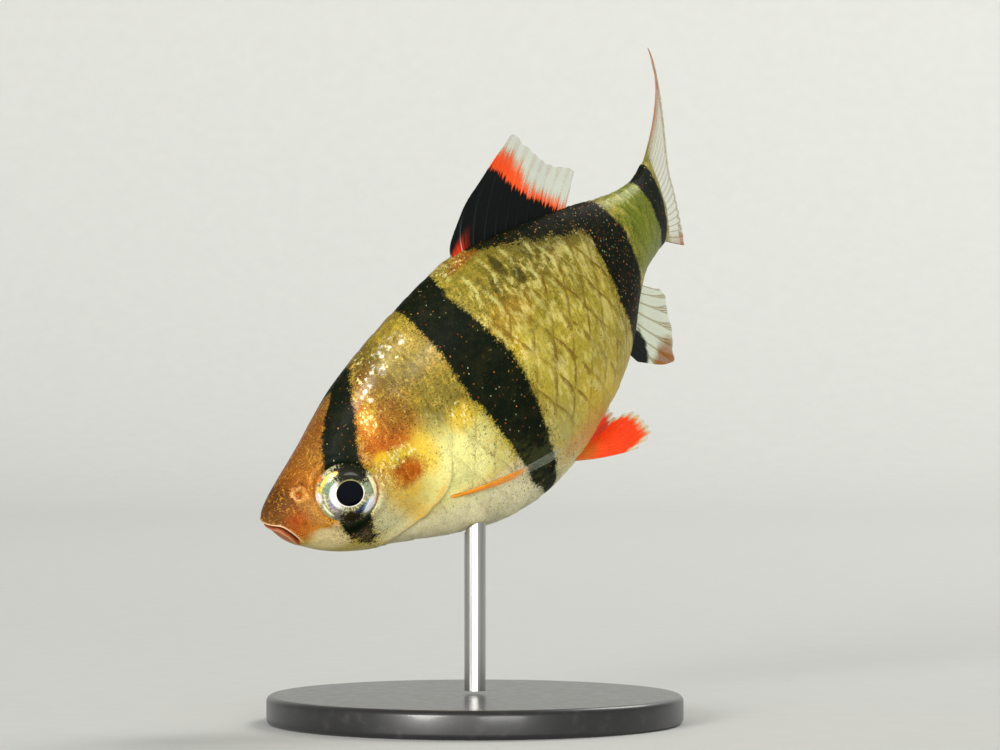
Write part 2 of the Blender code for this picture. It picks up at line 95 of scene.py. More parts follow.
def smooth(knots, at):
    """Heights of a smooth curve through (place, height) knots, at the given places."""
    x = np.array([k[0] for k in knots], float)
    y = np.array([k[1] for k in knots], float)
    at = np.clip(np.asarray(at, float), x[0], x[-1])
    step = np.diff(x)
    slope = (np.diff(y, axis=0).T / step).T
    inner = ((slope[:-1].T * step[1:] + slope[1:].T * step[:-1]) / (step[1:] + step[:-1])).T
    tangent = np.concatenate([slope[:1], inner, slope[-1:]])
    i = np.clip(np.searchsorted(x, at, side="right") - 1, 0, len(step) - 1)
    t = (at - x[i]) / step[i]
    width = step[i]
    if y.ndim == 2:
        t, width = t[..., None], width[..., None]
    start = y[i] * (1 + 2 * t) * (1 - t) ** 2 + tangent[i] * width * t * (1 - t) ** 2
    return start + y[i + 1] * t * t * (3 - 2 * t) + tangent[i + 1] * width * t * t * (t - 1)


def blunt(knots, s):
    """The same, against the root of the distance, so that the snout comes out round."""
    return smooth([(math.sqrt(k[0]), k[1]) for k in knots], np.sqrt(np.maximum(s, 0.0)))


def fade(value, start, end):
    """0 before start and 1 past end, with a smooth step between."""
    t = np.clip((value - start) / (end - start), 0.0, 1.0)
    return t * t * (3 - 2 * t)


def bump(distance, width):
    """1 at no distance, falling off like a bell."""
    return np.exp(-(distance / width) ** 2)


print("the back at half length is", round(float(blunt(BACK, 0.5)), 3), "high")

# %% Points and directions of the body


def body_point(s, a):
    """Points of the plain body; behind the tail's root it thins out to a wedge."""
    top, bottom, wide = (blunt(k, s) for k in (BACK, BELLY, HALF_WIDTH))
    past = np.clip((s - TAIL_TAPER_START) / (BODY_END - TAIL_TAPER_START), 0.0, 1.0)
    wide = wide * np.sqrt(1 - past ** 2)
    middle = bottom + WIDEST_PART * (top - bottom)
    reach = np.where(np.cos(a) > 0, top - middle, middle - bottom)
    power = np.where(np.cos(a) > 0, BACK_SHARPNESS, smooth(BELLY_SHARPNESS, s))
    y = -wide * np.sign(np.sin(a)) * np.abs(np.sin(a)) ** power
    return np.stack([s + 0.0 * a, y, middle + reach * np.cos(a)], axis=-1)


def body_normal(s, a):
    """Outward directions of the plain body at the same places."""
    small = 1e-4
    along = body_point(s + small, a) - body_point(s, a)
    round_it = body_point(s, a + small) - body_point(s, a - small)
    normal = np.cross(round_it, along)
    return normal / np.maximum(np.linalg.norm(normal, axis=-1, keepdims=True), 1e-12)


def fold(a):
    """The angle from the ridge of the back, alike on both sides."""
    return np.abs((a + math.pi) % (2 * math.pi) - math.pi)


def gill_opening(a):
    """How far back the head reaches at angle a."""
    return smooth(GILL_OPENING, np.degrees(fold(a)))


DEEPEST = 0.47
depth = float(blunt(BACK, DEEPEST) - blunt(BELLY, DEEPEST)) * STANDARD_LENGTH
print("greatest depth", round(depth * 1000, 1), "mm")

# %% [markdown]
# ## Bending the fish
#
# The swimming fish turns its tail away, leans its back towards us and dips its head. A lattice or
# an armature could bend a finished mesh; here one function bends points instead, so that skin,
# scales, eyes and fins that are made straight always land together.

# %% Pose
BEND = ((0.0, 0.0), (0.25, 0.25), (0.5, 1.56), (0.75, 1.17), (1.0, 1.10), (1.4, 1.10))
TAIL_TWIST = math.radians(7.3)
TURN = math.radians(10.4)
DIP = math.radians(-29.3)
BANK = math.radians(27.4)
PIVOT = 0.45
FISH_PLACE = (0.0016, -0.0014, 0.0283)


def bend_line():
    """Middle line of the bent fish seen from above: place, x, y and heading."""
    s = np.linspace(0.0, 1.4, 281)
    bend = np.interp(s, [k[0] for k in BEND], [k[1] for k in BEND])
    step = np.diff(s)
    heading = np.concatenate([[0.0], np.cumsum((bend[1:] + bend[:-1]) / 2 * step)])
    half = (heading[1:] + heading[:-1]) / 2
    x = np.concatenate([[0.0], np.cumsum(np.cos(half) * step)])
    y = np.concatenate([[0.0], np.cumsum(np.sin(half) * step)])
    return s, x, y, heading


BEND_LINE = bend_line()


def turn_matrix():
    """Bank about the fish's length, then turn, then dip the head."""
    cx, sx = math.cos(BANK), math.sin(BANK)
    cz, sz = math.cos(TURN), math.sin(TURN)
    cy, sy = math.cos(DIP), math.sin(DIP)
    bank = np.array([[1, 0, 0], [0, cx, -sx], [0, sx, cx]])
    turn = np.array([[cz, -sz, 0], [sz, cz, 0], [0, 0, 1]])
    dip = np.array([[cy, 0, sy], [0, 1, 0], [-sy, 0, cy]])
    return dip @ turn @ bank


def posed(points):
    """World places, in metres, of points of the straight fish."""
    points = np.asarray(points, float)
    s, y, z = points[..., 0], points[..., 1], points[..., 2]
    twist = TAIL_TWIST * fade(s, 0.4, 1.2)
    side = y * np.cos(twist) - z * np.sin(twist)
    up = y * np.sin(twist) + z * np.cos(twist)
    places, line_x, line_y, line_heading = BEND_LINE
    x0 = np.interp(s, places, line_x) + np.minimum(s, 0.0)
    y0 = np.interp(s, places, line_y)
    heading = np.interp(s, places, line_heading)
    bent = np.stack([x0 - side * np.sin(heading) - PIVOT, y0 + side * np.cos(heading), up], -1)
    return bent @ turn_matrix().T * STANDARD_LENGTH + np.array(FISH_PLACE)


for name, s in (("snout", 0), ("tail root", 1)):
    print(name, "at", (posed((s, 0, 0)) * 1000).round(1), "mm")

# %% [markdown]
# ## A map of the flank
#
# Scales sit in rows that keep their distance along the skin, not in height, and the dark bands
# follow the skin too. So each point also gets a height `v` measured round the body from the middle
# of the side, like the lines of latitude on a globe. Two tables turn angle into `v` and back.

# %% Tables of height round the body
SIDE_LINE = math.radians(88)
PAST_RIDGE, HIGHEST = 0.7, 0.42
PLACES = np.linspace(0.0, 1.04, 261)
TURNS = np.linspace(-PAST_RIDGE, math.pi + PAST_RIDGE, 541)
HEIGHTS = np.linspace(-HIGHEST, HIGHEST, 421)
table_s, table_a = np.meshgrid(PLACES, TURNS, indexing="ij")
pieces_round = np.linalg.norm(np.diff(body_point(table_s, table_a), axis=1), axis=-1)
length_round = np.concatenate([np.zeros((len(PLACES), 1)), np.cumsum(pieces_round, axis=1)], axis=1)
middle_length = np.array([np.interp(SIDE_LINE, TURNS, row) for row in length_round])
HEIGHT_OF_TURN = middle_length[:, None] - length_round
TURN_OF_HEIGHT = np.array([np.interp(-HEIGHTS, -row, TURNS) for row in HEIGHT_OF_TURN])


def look_up(table, columns, s, value):
    """Read a table by place along the fish and by value, blending between its entries."""
    row = np.clip((s - PLACES[0]) / (PLACES[1] - PLACES[0]), 0, len(PLACES) - 1.001)
    col = np.clip((value - columns[0]) / (columns[1] - columns[0]), 0, len(columns) - 1.001)
    i, j = row.astype(int), col.astype(int)
    u, w = row - i, col - j
    low = table[i, j] * (1 - w) + table[i, j + 1] * w
    high = table[i + 1, j] * (1 - w) + table[i + 1, j + 1] * w
    return low * (1 - u) + high * u


def flank_height(s, a):
    """v at angle a, the same on both sides."""
    return look_up(HEIGHT_OF_TURN, TURNS, np.asarray(s, float) + 0 * a, fold(a))


def turn_at(s, v):
    """The angle of the left side at height v."""
    return look_up(TURN_OF_HEIGHT, HEIGHTS, np.asarray(s, float) + 0 * v, np.asarray(v, float))


ridges = flank_height(0.5, np.array([0.0, math.pi]))
print("back and belly heights at half length:", ridges.round(3))

# %% [markdown]
# ## Writing shaders as sums
#
# A pattern needs dozens of Math nodes. A small class wraps a socket so that `1 - mask * 0.5` adds
# those nodes by itself. Colours and vectors go through Mix and Vector Math nodes instead.

# %% A value that can be added and multiplied


class Signal:
    """An output socket that takes part in Python sums."""

    def __init__(self, tree, socket):
        self.tree, self.socket = tree, socket

    def math(self, operation, *values):
        """A Math node between numbers and signals."""
        return node(self.tree, "Math", {"operation": operation}, dict(enumerate(values)))

    def __add__(self, other):
        return self.math("ADD", self, other)

    def __radd__(self, other):
        return self.math("ADD", other, self)

    def __sub__(self, other):
        return self.math("SUBTRACT", self, other)

    def __rsub__(self, other):
        return self.math("SUBTRACT", other, self)

    def __mul__(self, other):
        return self.math("MULTIPLY", self, other)

    def __rmul__(self, other):
        return self.math("MULTIPLY", other, self)

    def __truediv__(self, other):
        return self.math("DIVIDE", self, other)

    def __abs__(self):
        return self.math("ABSOLUTE", self)

    def least(self, other):
        return self.math("MINIMUM", self, other)

    def most(self, other):
        return self.math("MAXIMUM", self, other)

    def above(self, start, end):
        """0 below start and 1 past end, rising smoothly; also falls if end is below start."""
        settings = {"interpolation_type": "SMOOTHSTEP"}
        low, high = (start, end) if start < end else (end, start)
        values = {"Value": self, "From Min": low, "From Max": high}
        risen = node(self.tree, "MapRange", settings, values)
        return risen if start < end else 1 - risen

    def within(self, start, full, thin, end):
        """1 from full to thin, falling smoothly to 0 at start and at end."""
        return self.above(start, full) * self.above(end, thin)

    def near(self, place, reach, core):
        """1 up to core away from a place, 0 from reach on."""
        return abs(self - place).above(reach, core)


print("signals ready")

# %% Nodes and colours


def node(tree, kind, settings=None, values=None, output=0):
    """Add a shader node: its settings first, then the values or links of its sockets."""
    made = tree.nodes.new("ShaderNode" + kind)
    for name, value in (settings or {}).items():
        if name == "stops":
            for place, height in value[1:-1]:
                made.color_ramp.elements.new(place)
            for stop, (place, height) in zip(made.color_ramp.elements, value):
                stop.position = place
                stop.color = (height, height, height, 1.0)
        else:
            setattr(made, name, value)
    for slot, value in (values or {}).items():
        if isinstance(value, Signal):
            tree.links.new(value.socket, made.inputs[slot])
        else:
            made.inputs[slot].default_value = value
    return Signal(tree, made.outputs[output])


MIX_FACTOR, MIX_FIRST, MIX_SECOND, MIX_RESULT = 0, 6, 7, 2


def pigment(red, green, blue):
    """A colour given as it looks on a screen, 0 to 255, as the renderer's linear numbers."""
    levels = [c / 255 for c in (red, green, blue)]
    linear = [c / 12.92 if c <= 0.04045 else ((c + 0.055) / 1.055) ** 2.4 for c in levels]
    return (*linear, 1.0)


def blend(first, second, share):
    """Colour from first to second as share goes from 0 to 1; plain numbers are screen colours."""
    first, second = (c if isinstance(c, Signal) else pigment(*c) for c in (first, second))
    values = {MIX_FACTOR: share, MIX_FIRST: first, MIX_SECOND: second}
    return node(share.tree, "Mix", {"data_type": "RGBA"}, values, MIX_RESULT)


def lay(colour, *layers):
    """Lay tints over a colour, each with the share of it that shows."""
    for tint, share in layers:
        colour = blend(colour, tint, share)
    return colour


def shade(colour, brightness):
    """A colour made lighter or darker by a value."""
    return node(colour.tree, "VectorMath", {"operation": "SCALE"}, {0: colour, "Scale": brightness})


print("nodes and colours ready")

# %% Vectors and patterns
OBJECT_OUTPUT, VECTOR_OUTPUT, NUMBER_OUTPUT, COLOUR_OUTPUT = 3, 1, 1, 1


def vector_math(operation, *vectors, output=0):
    """A Vector Math node between vectors of which the first is a signal."""
    return node(vectors[0].tree, "VectorMath", {"operation": operation}, dict(enumerate(vectors)), output)


def length(vector):
    """How long a vector is."""
    return vector_math("LENGTH", vector, output=NUMBER_OUTPUT)


def stretch(vector, x, y, z=1.0):
    """The vector with its numbers multiplied; a smaller number draws a pattern out that way."""
    return vector_math("MULTIPLY", vector, (x, y, z))


def parts(vector):
    """The three numbers of a vector."""
    made = node(vector.tree, "SeparateXYZ", None, {0: vector}).socket.node
    return [Signal(vector.tree, out) for out in made.outputs]


def noise(vector, scale, detail=2.0, roughness=0.5):
    """Soft random clouds between 0 and 1."""
    values = {"Vector": vector, "Scale": scale, "Detail": detail, "Roughness": roughness}
    return node(vector.tree, "TexNoise", None, values)


def cells(vector, scale, wobble):
    """Distance to the middle of the nearest random cell, and that cell's own three numbers."""
    tree = vector.tree
    values = {"Vector": vector, "Scale": scale * 2, "Detail": 1.0}
    cloud = node(tree, "TexNoise", None, values, COLOUR_OUTPUT)
    shift = shade(vector_math("SUBTRACT", cloud, (0.5, 0.5, 0.5)), wobble / scale)
    values = {"Vector": vector_math("ADD", vector, shift), "Scale": scale, "Randomness": 1.0}
    spot = node(tree, "TexVoronoi", None, values)
    return spot, parts(Signal(tree, spot.socket.node.outputs[COLOUR_OUTPUT]))


def between(first, second, share):
    """A number that holds that share of the first signal and the rest of the second."""
    return first * share + second * (1 - share)


def curve(value, knots):
    """A height that follows (place, height) knots, held by a colour ramp."""
    start, span = knots[0][0], knots[-1][0] - knots[0][0]
    stops = [((place - start) / span, height) for place, height in knots]
    return node(value.tree, "ValToRGB", {"stops": stops}, {"Fac": (value - start) / span})


print("pattern helpers ready")

# %% Materials and their inputs


def new_material(name, constants):
    """A material whose plain sockets are set, with its tree and its shader."""
    made = bpy.data.materials.new(name)
    made.use_nodes = True
    shader = made.node_tree.nodes["Principled BSDF"]
    for slot, value in constants.items():
        shader.inputs[slot].default_value = value
    return made, made.node_tree, shader


def attach(shader, **signals):
    """Link signals to the shader's sockets, named with underscores for spaces."""
    for slot, signal in signals.items():
        signal.tree.links.new(signal.socket, shader.inputs[slot.replace("_", " ")])


def attribute(tree, name):
    """A vector that the mesh keeps at each of its points."""
    return node(tree, "Attribute", {"attribute_name": name}, None, VECTOR_OUTPUT)


def own_place(tree):
    """A point's place in the coordinates of its object."""
    return node(tree, "TexCoord", None, None, OBJECT_OUTPUT)


def emboss(height, distance, strength):
    """The slopes that a height gives a surface, for its Normal socket."""
    values = {"Height": height, "Distance": distance, "Strength": strength}
    return node(height.tree, "Bump", None, values)


print("material helpers ready")

# %% [markdown]
# ## Helpers that finish a mesh
#
# Each piece is built in a bmesh from one of its ready shapes, then its points are moved. Fish
# coordinates are kept on the mesh as an attribute, so the paint still knows where it is after the
# bend. Finished objects stay at the origin.

# %% From bmesh to finished piece


def coordinates(built):
    """Places of a bmesh's points as an array."""
    return np.array([v.co[:] for v in built.verts])


def place_all(built, points):
    """Move a bmesh's points, all at once."""
    for v, point in zip(built.verts, points):
        v.co = point


def keep(mesh, name, values):
    """Store one vector for each point of a mesh."""
    made = mesh.attributes.new(name, "FLOAT_VECTOR", "POINT")
    made.data.foreach_set("vector", np.asarray(values, np.float32).ravel())


def finish_piece(name, built, material, slot, replaced=(), **stored):
    """Turn a bmesh into a smooth object that rides on the model."""
    built.normal_update()
    bmesh.ops.recalc_face_normals(built, faces=built.faces)
    mesh = bpy.data.meshes.new(name)
    built.to_mesh(mesh)
    built.free()
    mesh.shade_smooth()
    mesh.materials.append(material)
    for label, values in stored.items():
        keep(mesh, label, values)
    piece = bpy.data.objects.new(name, mesh)
    SCENE.collection.objects.link(piece)
    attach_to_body(piece, "root")
    if replaced:
        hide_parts(*replaced)
    mesh.calc_loop_triangles()
    print(name, len(mesh.loop_triangles), "triangles")


print("mesh helpers ready")

# %% [markdown]
# ## The paint of the body
#
# Skin and scales carry the same markings, so one function paints both. It starts from a golden
# olive, lays soft zones of colour over it (orange brow, pale gill area, cream breast), and then the
# black bands, whose edges break up into single pigment cells. Real bands glitter with tiny gold and
# red specks; a Voronoi pattern gives each cell its own chance of one.

# %% Zones of colour, as (place, height), (reach along, reach up), softness, colour, strength
ZONES = (
    # back, belly and breast
    ((0.62, 0.30), (0.50, 0.20), 0.5, (128, 116, 40), 0.75),
    ((0.60, -0.29), (0.40, 0.17), 0.5, (218, 190, 74), 0.85),
    ((0.38, -0.28), (0.20, 0.17), 0.35, (246, 242, 188), 0.9),
    ((0.22, -0.20), (0.17, 0.13), 0.35, (242, 228, 160), 0.9),
    # tail stem and shoulder
    ((0.89, 0.0), (0.11, 0.13), 0.4, (112, 130, 12), 0.9),
    ((0.31, 0.13), (0.085, 0.10), 0.5, (164, 128, 38), 0.8),
    ((0.340, 0.08), (0.05, 0.05), 0.6, (128, 118, 50), 0.75),
    ((0.275, 0.165), (0.045, 0.05), 0.5, (72, 66, 34), 0.85),
    ((0.325, 0.170), (0.050, 0.040), 0.6, (150, 134, 70), 0.7),
    ((0.50, 0.115), (0.045, 0.030), 0.7, (178, 134, 48), 0.6),
    ((0.50, 0.050), (0.040, 0.050), 0.7, (208, 192, 78), 0.6),
    ((0.51, -0.13), (0.050, 0.060), 0.7, (172, 160, 78), 0.6),
    ((0.61, 0.165), (0.10, 0.035), 0.7, (116, 108, 44), 0.6),
    ((0.60, -0.125), (0.05, 0.05), 0.7, (228, 194, 58), 0.8),
    ((0.490, 0.243), (0.035, 0.012), 0.6, (150, 88, 26), 0.85),
    # forehead, brow and snout
    ((0.11, 0.10), (0.13, 0.075), 0.35, (168, 102, 28), 0.95),
    ((0.128, 0.115), (0.035, 0.030), 0.7, (190, 140, 44), 0.8),
    ((0.08, 0.16), (0.16, 0.07), 0.5, (128, 70, 28), 0.8),
    ((0.070, 0.035), (0.045, 0.050), 0.5, (176, 106, 32), 0.85),
    ((0.056, 0.062), (0.034, 0.034), 0.6, (132, 72, 16), 0.85),
    ((0.072, 0.016), (0.022, 0.026), 0.5, (188, 132, 68), 0.8),
    ((0.018, 0.050), (0.040, 0.055), 0.5, (84, 50, 20), 0.9),
    ((0.014, 0.004), (0.026, 0.028), 0.6, (106, 58, 26), 0.8),
    ((0.046, -0.008), (0.020, 0.030), 0.6, (176, 78, 26), 0.85),
    # cheek
    ((0.085, -0.014), (0.030, 0.016), 0.6, (196, 122, 36), 0.8),
    ((0.084, -0.050), (0.034, 0.030), 0.35, (226, 206, 152), 0.95),
    ((0.184, -0.052), (0.036, 0.060), 0.45, (210, 206, 160), 0.95),
    # gill cover
    ((0.238, 0.055), (0.042, 0.060), 0.45, (182, 92, 24), 0.95),
    ((0.262, 0.098), (0.034, 0.036), 0.6, (128, 92, 30), 0.75),
    ((0.217, 0.100), (0.014, 0.022), 0.6, (214, 134, 40), 0.9),
    ((0.210, 0.038), (0.012, 0.010), 0.5, (236, 186, 36), 0.9),
    ((0.238, 0.027), (0.028, 0.014), 0.6, (196, 178, 44), 0.9),
    ((0.200, 0.005), (0.014, 0.030), 0.6, (196, 156, 66), 0.7),
    ((0.228, -0.040), (0.036, 0.044), 0.5, (214, 174, 66), 0.85),
    ((0.240, -0.085), (0.030, 0.012), 0.6, (224, 182, 84), 0.6),
    # pale patch behind the gill cover and a few golden scales
    ((0.318, -0.048), (0.068, 0.078), 0.5, (248, 243, 160), 0.95),
    ((0.276, 0.004), (0.022, 0.042), 0.6, (246, 206, 62), 0.80),
    ((0.243, -0.008), (0.026, 0.025), 0.45, (178, 90, 14), 1.0),
    ((0.352, 0.030), (0.022, 0.022), 0.6, (232, 196, 48), 0.8),
    ((0.484, 0.062), (0.011, 0.022), 0.7, (226, 190, 44), 0.8),
    ((0.536, 0.002), (0.011, 0.026), 0.6, (116, 88, 26), 0.6),
    ((0.55, -0.175), (0.055, 0.030), 0.7, (232, 140, 56), 0.5),
)
GOLD_PLACES = (
    ((0.265, 0.185), (0.050, 0.030), 0.16), ((0.219, 0.101), (0.011, 0.024), 1.0),
    ((0.232, 0.029), (0.030, 0.016), 0.9), ((0.200, 0.010), (0.012, 0.020), 0.6),
    ((0.350, 0.028), (0.022, 0.028), 0.6), ((0.484, 0.062), (0.011, 0.024), 0.7),
    ((0.480, 0.250), (0.055, 0.014), 0.5),
)
PEARL_PLACES = (
    ((0.241, 0.142), (0.014, 0.014), 0.6), ((0.275, 0.168), (0.016, 0.012), 0.6),
    ((0.315, 0.195), (0.030, 0.016), 0.5),
    ((0.36, -0.205), (0.10, 0.035), 0.32), ((0.20, -0.150), (0.05, 0.012), 0.35),
)
FRECKLE_PLACES = (
    ((0.262, 0.095), (0.045, 0.050), 0.62), ((0.245, 0.012), (0.030, 0.006), 0.9),
    ((0.222, 0.03), (0.024, 0.060), 0.30), ((0.325, 0.09), (0.05, 0.07), 0.50),
    ((0.372, -0.01), (0.030, 0.060), 0.50),
    ((0.60, 0.17), (0.12, 0.04), 0.40), ((0.39, -0.19), (0.06, 0.05), 0.22),
)

# %% Middle and half width of the four bands, by height on the flank
BAND_MIDDLES = (
    ((-0.11, 0.145), (-0.09, 0.14), (-0.065, 0.1325), (-0.04, 0.1305), (0.0, 0.138), (0.07, 0.150),
     (0.095, 0.162), (0.12, 0.174), (0.145, 0.1875), (0.17, 0.206), (0.195, 0.219), (0.24, 0.235)),
    ((-0.30, 0.465), (-0.20, 0.452), (-0.165, 0.446), (-0.115, 0.444), (-0.065, 0.440), (-0.015, 0.435),
     (0.02, 0.4315), (0.05, 0.426), (0.085, 0.420), (0.135, 0.411), (0.21, 0.393), (0.26, 0.392)),
    ((-0.20, 0.775), (-0.115, 0.765), (-0.02, 0.756), (0.05, 0.759), (0.11, 0.754), (0.20, 0.745)),
    ((-0.20, 0.965), (0.0, 0.960), (0.20, 0.968)),
)
BAND_WIDTHS = (
    ((-0.115, -0.02), (-0.105, 0.005), (-0.09, 0.0125), (-0.065, 0.020), (-0.04, 0.0255), (0.0, 0.029),
     (0.07, 0.0325), (0.12, 0.031), (0.145, 0.0275), (0.17, 0.021), (0.24, 0.018)),
    ((-0.29, 0.0), (-0.235, 0.010), (-0.20, 0.018), (-0.165, 0.026), (-0.115, 0.029), (-0.065, 0.034),
     (-0.015, 0.0385), (0.02, 0.0425), (0.05, 0.0465), (0.085, 0.045), (0.135, 0.041), (0.18, 0.037),
     (0.21, 0.036), (0.26, 0.042)),
    ((-0.20, 0.030), (-0.10, 0.040), (-0.02, 0.046), (0.05, 0.047), (0.11, 0.041), (0.20, 0.045)),
    ((-0.09, -0.02), (-0.055, 0.020), (0.0, 0.032), (0.12, 0.036)),
)
SADDLE_EDGE = (
    (0.485, 0.42), (0.505, 0.252), (0.525, 0.235), (0.55, 0.216), (0.60, 0.189), (0.65, 0.165),
    (0.70, 0.136), (0.75, 0.116), (0.785, 0.125), (0.81, 0.42),
)
BLOTS = (
    ((0.5265, 0.198), (0.008, 0.026), 0.90), ((0.547, 0.157), (0.010, 0.016), 0.85),
    ((0.500, 0.166), (0.005, 0.016), 0.55), ((0.585, 0.182), (0.007, 0.018), 0.60),
    ((0.625, 0.162), (0.007, 0.016), 0.45), ((0.484, 0.186), (0.004, 0.014), 0.35),
)
GOLDEN_OLIVE, BAND_BLACK = (184, 166, 58), (8, 16, 6)
print(len(ZONES), "zones of colour,", len(BAND_MIDDLES), "bands and", len(BLOTS), "blots")

# %% Masks on the map of the flank


def ellipse(place, centre, reach):
    """1 on the border of an ellipse on the flank map, less inside it."""
    away = vector_math("SUBTRACT", place, (*centre, 0.0))
    return length(stretch(away, 1 / reach[0], 1 / reach[1], 0.0))


def patches(place, where, torn=0.0):
    """The strongest of several soft elliptic masks."""
    total = 0.0
    for centre, reach, strength in where:
        mask = (ellipse(place, centre, reach) + torn).above(1.35, 0.55) * strength
        total = mask.most(total)
    return total


def band_distance(place):
    """How far a place lies outside the nearest dark marking, less than nothing inside it."""
    s, v, _ = parts(place)
    saddle_start, saddle_end = SADDLE_EDGE[0][0], SADDLE_EDGE[-1][0]
    saddle_middle, saddle_half = (saddle_start + saddle_end) / 2, (saddle_end - saddle_start) / 2
    distance = (curve(s, SADDLE_EDGE) - v).most(abs(s - saddle_middle) - saddle_half)
    for middles, widths in zip(BAND_MIDDLES, BAND_WIDTHS):
        distance = distance.least(abs(s - curve(v, middles)) - curve(v, widths))
    return distance


print("bands are measured on the flank from", BAND_MIDDLES[0][0][1], "to", BAND_MIDDLES[-1][-1][1])

# %% Ground colours


def ground_colour(place, s, v, noises, torn):
    """Zones of colour, broken up by grains and streaks of lighter and darker pigment."""
    wander, grain, fine, streak = noises
    colour = node(place.tree, "RGB")
    colour.socket.default_value = pigment(*GOLDEN_OLIVE)
    for centre, reach, softness, tint, strength in ZONES:
        edge = ellipse(place, centre, reach) + torn
        colour = blend(colour, tint, edge.above(1 + softness, 1 - softness) * strength)
    upper = v.above(-0.08, 0.08) * s.above(0.25, 0.31)
    light = 0.86 + 0.35 * (wander - 0.5) + (grain - 0.5) + 0.85 * (fine - 0.5)
    light = light + 1.05 * (streak - 0.5) * upper
    brow = s.above(0.16, 0.09) * v.above(-0.04, 0.02)
    side = s.within(0.40, 0.48, 0.76, 0.84) * v.within(-0.16, -0.10, 0.16, 0.22)
    breast = s.within(0.15, 0.19, 0.42, 0.47) * v.above(-0.09, -0.13)
    blotchy, wispy = between(grain, wander, 0.6), between(fine, streak, 0.5)
    return lay(
        shade(colour, light.most(0.2)),
        ((160, 88, 20), between(grain, streak, 0.6).above(0.52, 0.64) * 0.32),
        ((88, 44, 18), blotchy.above(0.49, 0.60) * brow * 0.60),
        ((228, 160, 44), wispy.above(0.54, 0.64) * brow * 0.5),
        ((216, 204, 130), between(streak, wander, 0.6).above(0.49, 0.59) * side * 0.50),
        ((236, 220, 104), wispy.above(0.53, 0.66) * (1 - 0.8 * brow) * 0.32),
        ((246, 240, 202), breast * 0.45),
        ((180, 158, 124), blotchy.above(0.50, 0.60) * breast * 0.40),
        ((255, 252, 232), between(grain, fine, 0.5).above(0.52, 0.62) * breast * 0.65),
    )


def add_freckles(place, colour, distance):
    """Single black pigment cells, thick beside the bands and on the shoulder, thin elsewhere."""
    patchy = noise(place, 14.0, 2.0).above(0.45, 0.72)
    near = distance.above(0.028, 0.0) * 0.75 + patchy * 0.15
    near = near.most(patches(place, FRECKLE_PLACES))
    for scale, dark in ((280.0, 0.70), (440.0, 0.65)):
        spot, chance = cells(stretch(place, 1.0, 0.8), scale, 1.1)
        mask = (spot + 0.25 * chance[1]).above(0.62, 0.26) * (near - chance[0]).above(-0.04, 0.05)
        colour = blend(colour, (52, 36, 12), mask * dark)
    return colour


print("ground colours and freckles ready")

# %% The black of the bands


def band_colour(place, s, v, noises):
    """Olive black with browner clouds, greyer grains and a paler foot, and its share of glitter."""
    wander, grain, fine, _ = noises
    cloud = noise(place, 40.0, 3.0, 0.65)
    dust = noise(place, 330.0, 2.0, 0.6)
    first_foot = v.above(-0.05, -0.07) * s.above(0.2, 0.18)
    second_foot = v.above(-0.04, -0.12) * s.above(0.36, 0.40)
    black = lay(
        blend(BAND_BLACK, (25, 26, 11), cloud.above(0.42, 0.68)),
        ((50, 52, 28), dust.above(0.56, 0.72) * 0.40),
        ((88, 74, 52), (fine + grain - 0.5).above(0.34, 0.62) * first_foot * 0.9),
        ((66, 70, 38), (grain + wander - 0.5).above(0.34, 0.62) * second_foot * 0.6),
    )
    spot, chance = cells(stretch(place, 1.0, 0.7), 330.0, 0.9)
    rear = s.above(0.66, 0.72).most(s.above(0.50, 0.54) * 0.6) * s.above(0.90, 0.84)
    there = (chance[0] + 0.13 * rear).above(0.935, 0.97) * spot.above(0.48, 0.16)
    there = there * (0.25 + 0.65 * chance[2])
    warm = blend((226, 148, 66), (196, 76, 34), chance[1].above(0.42, 0.52))
    glint = blend(warm, (196, 206, 150), chance[1].above(0.68, 0.74))
    return blend(black, glint, there), there


print("band black ready")

# %% The whole paint, shared by skin and scales


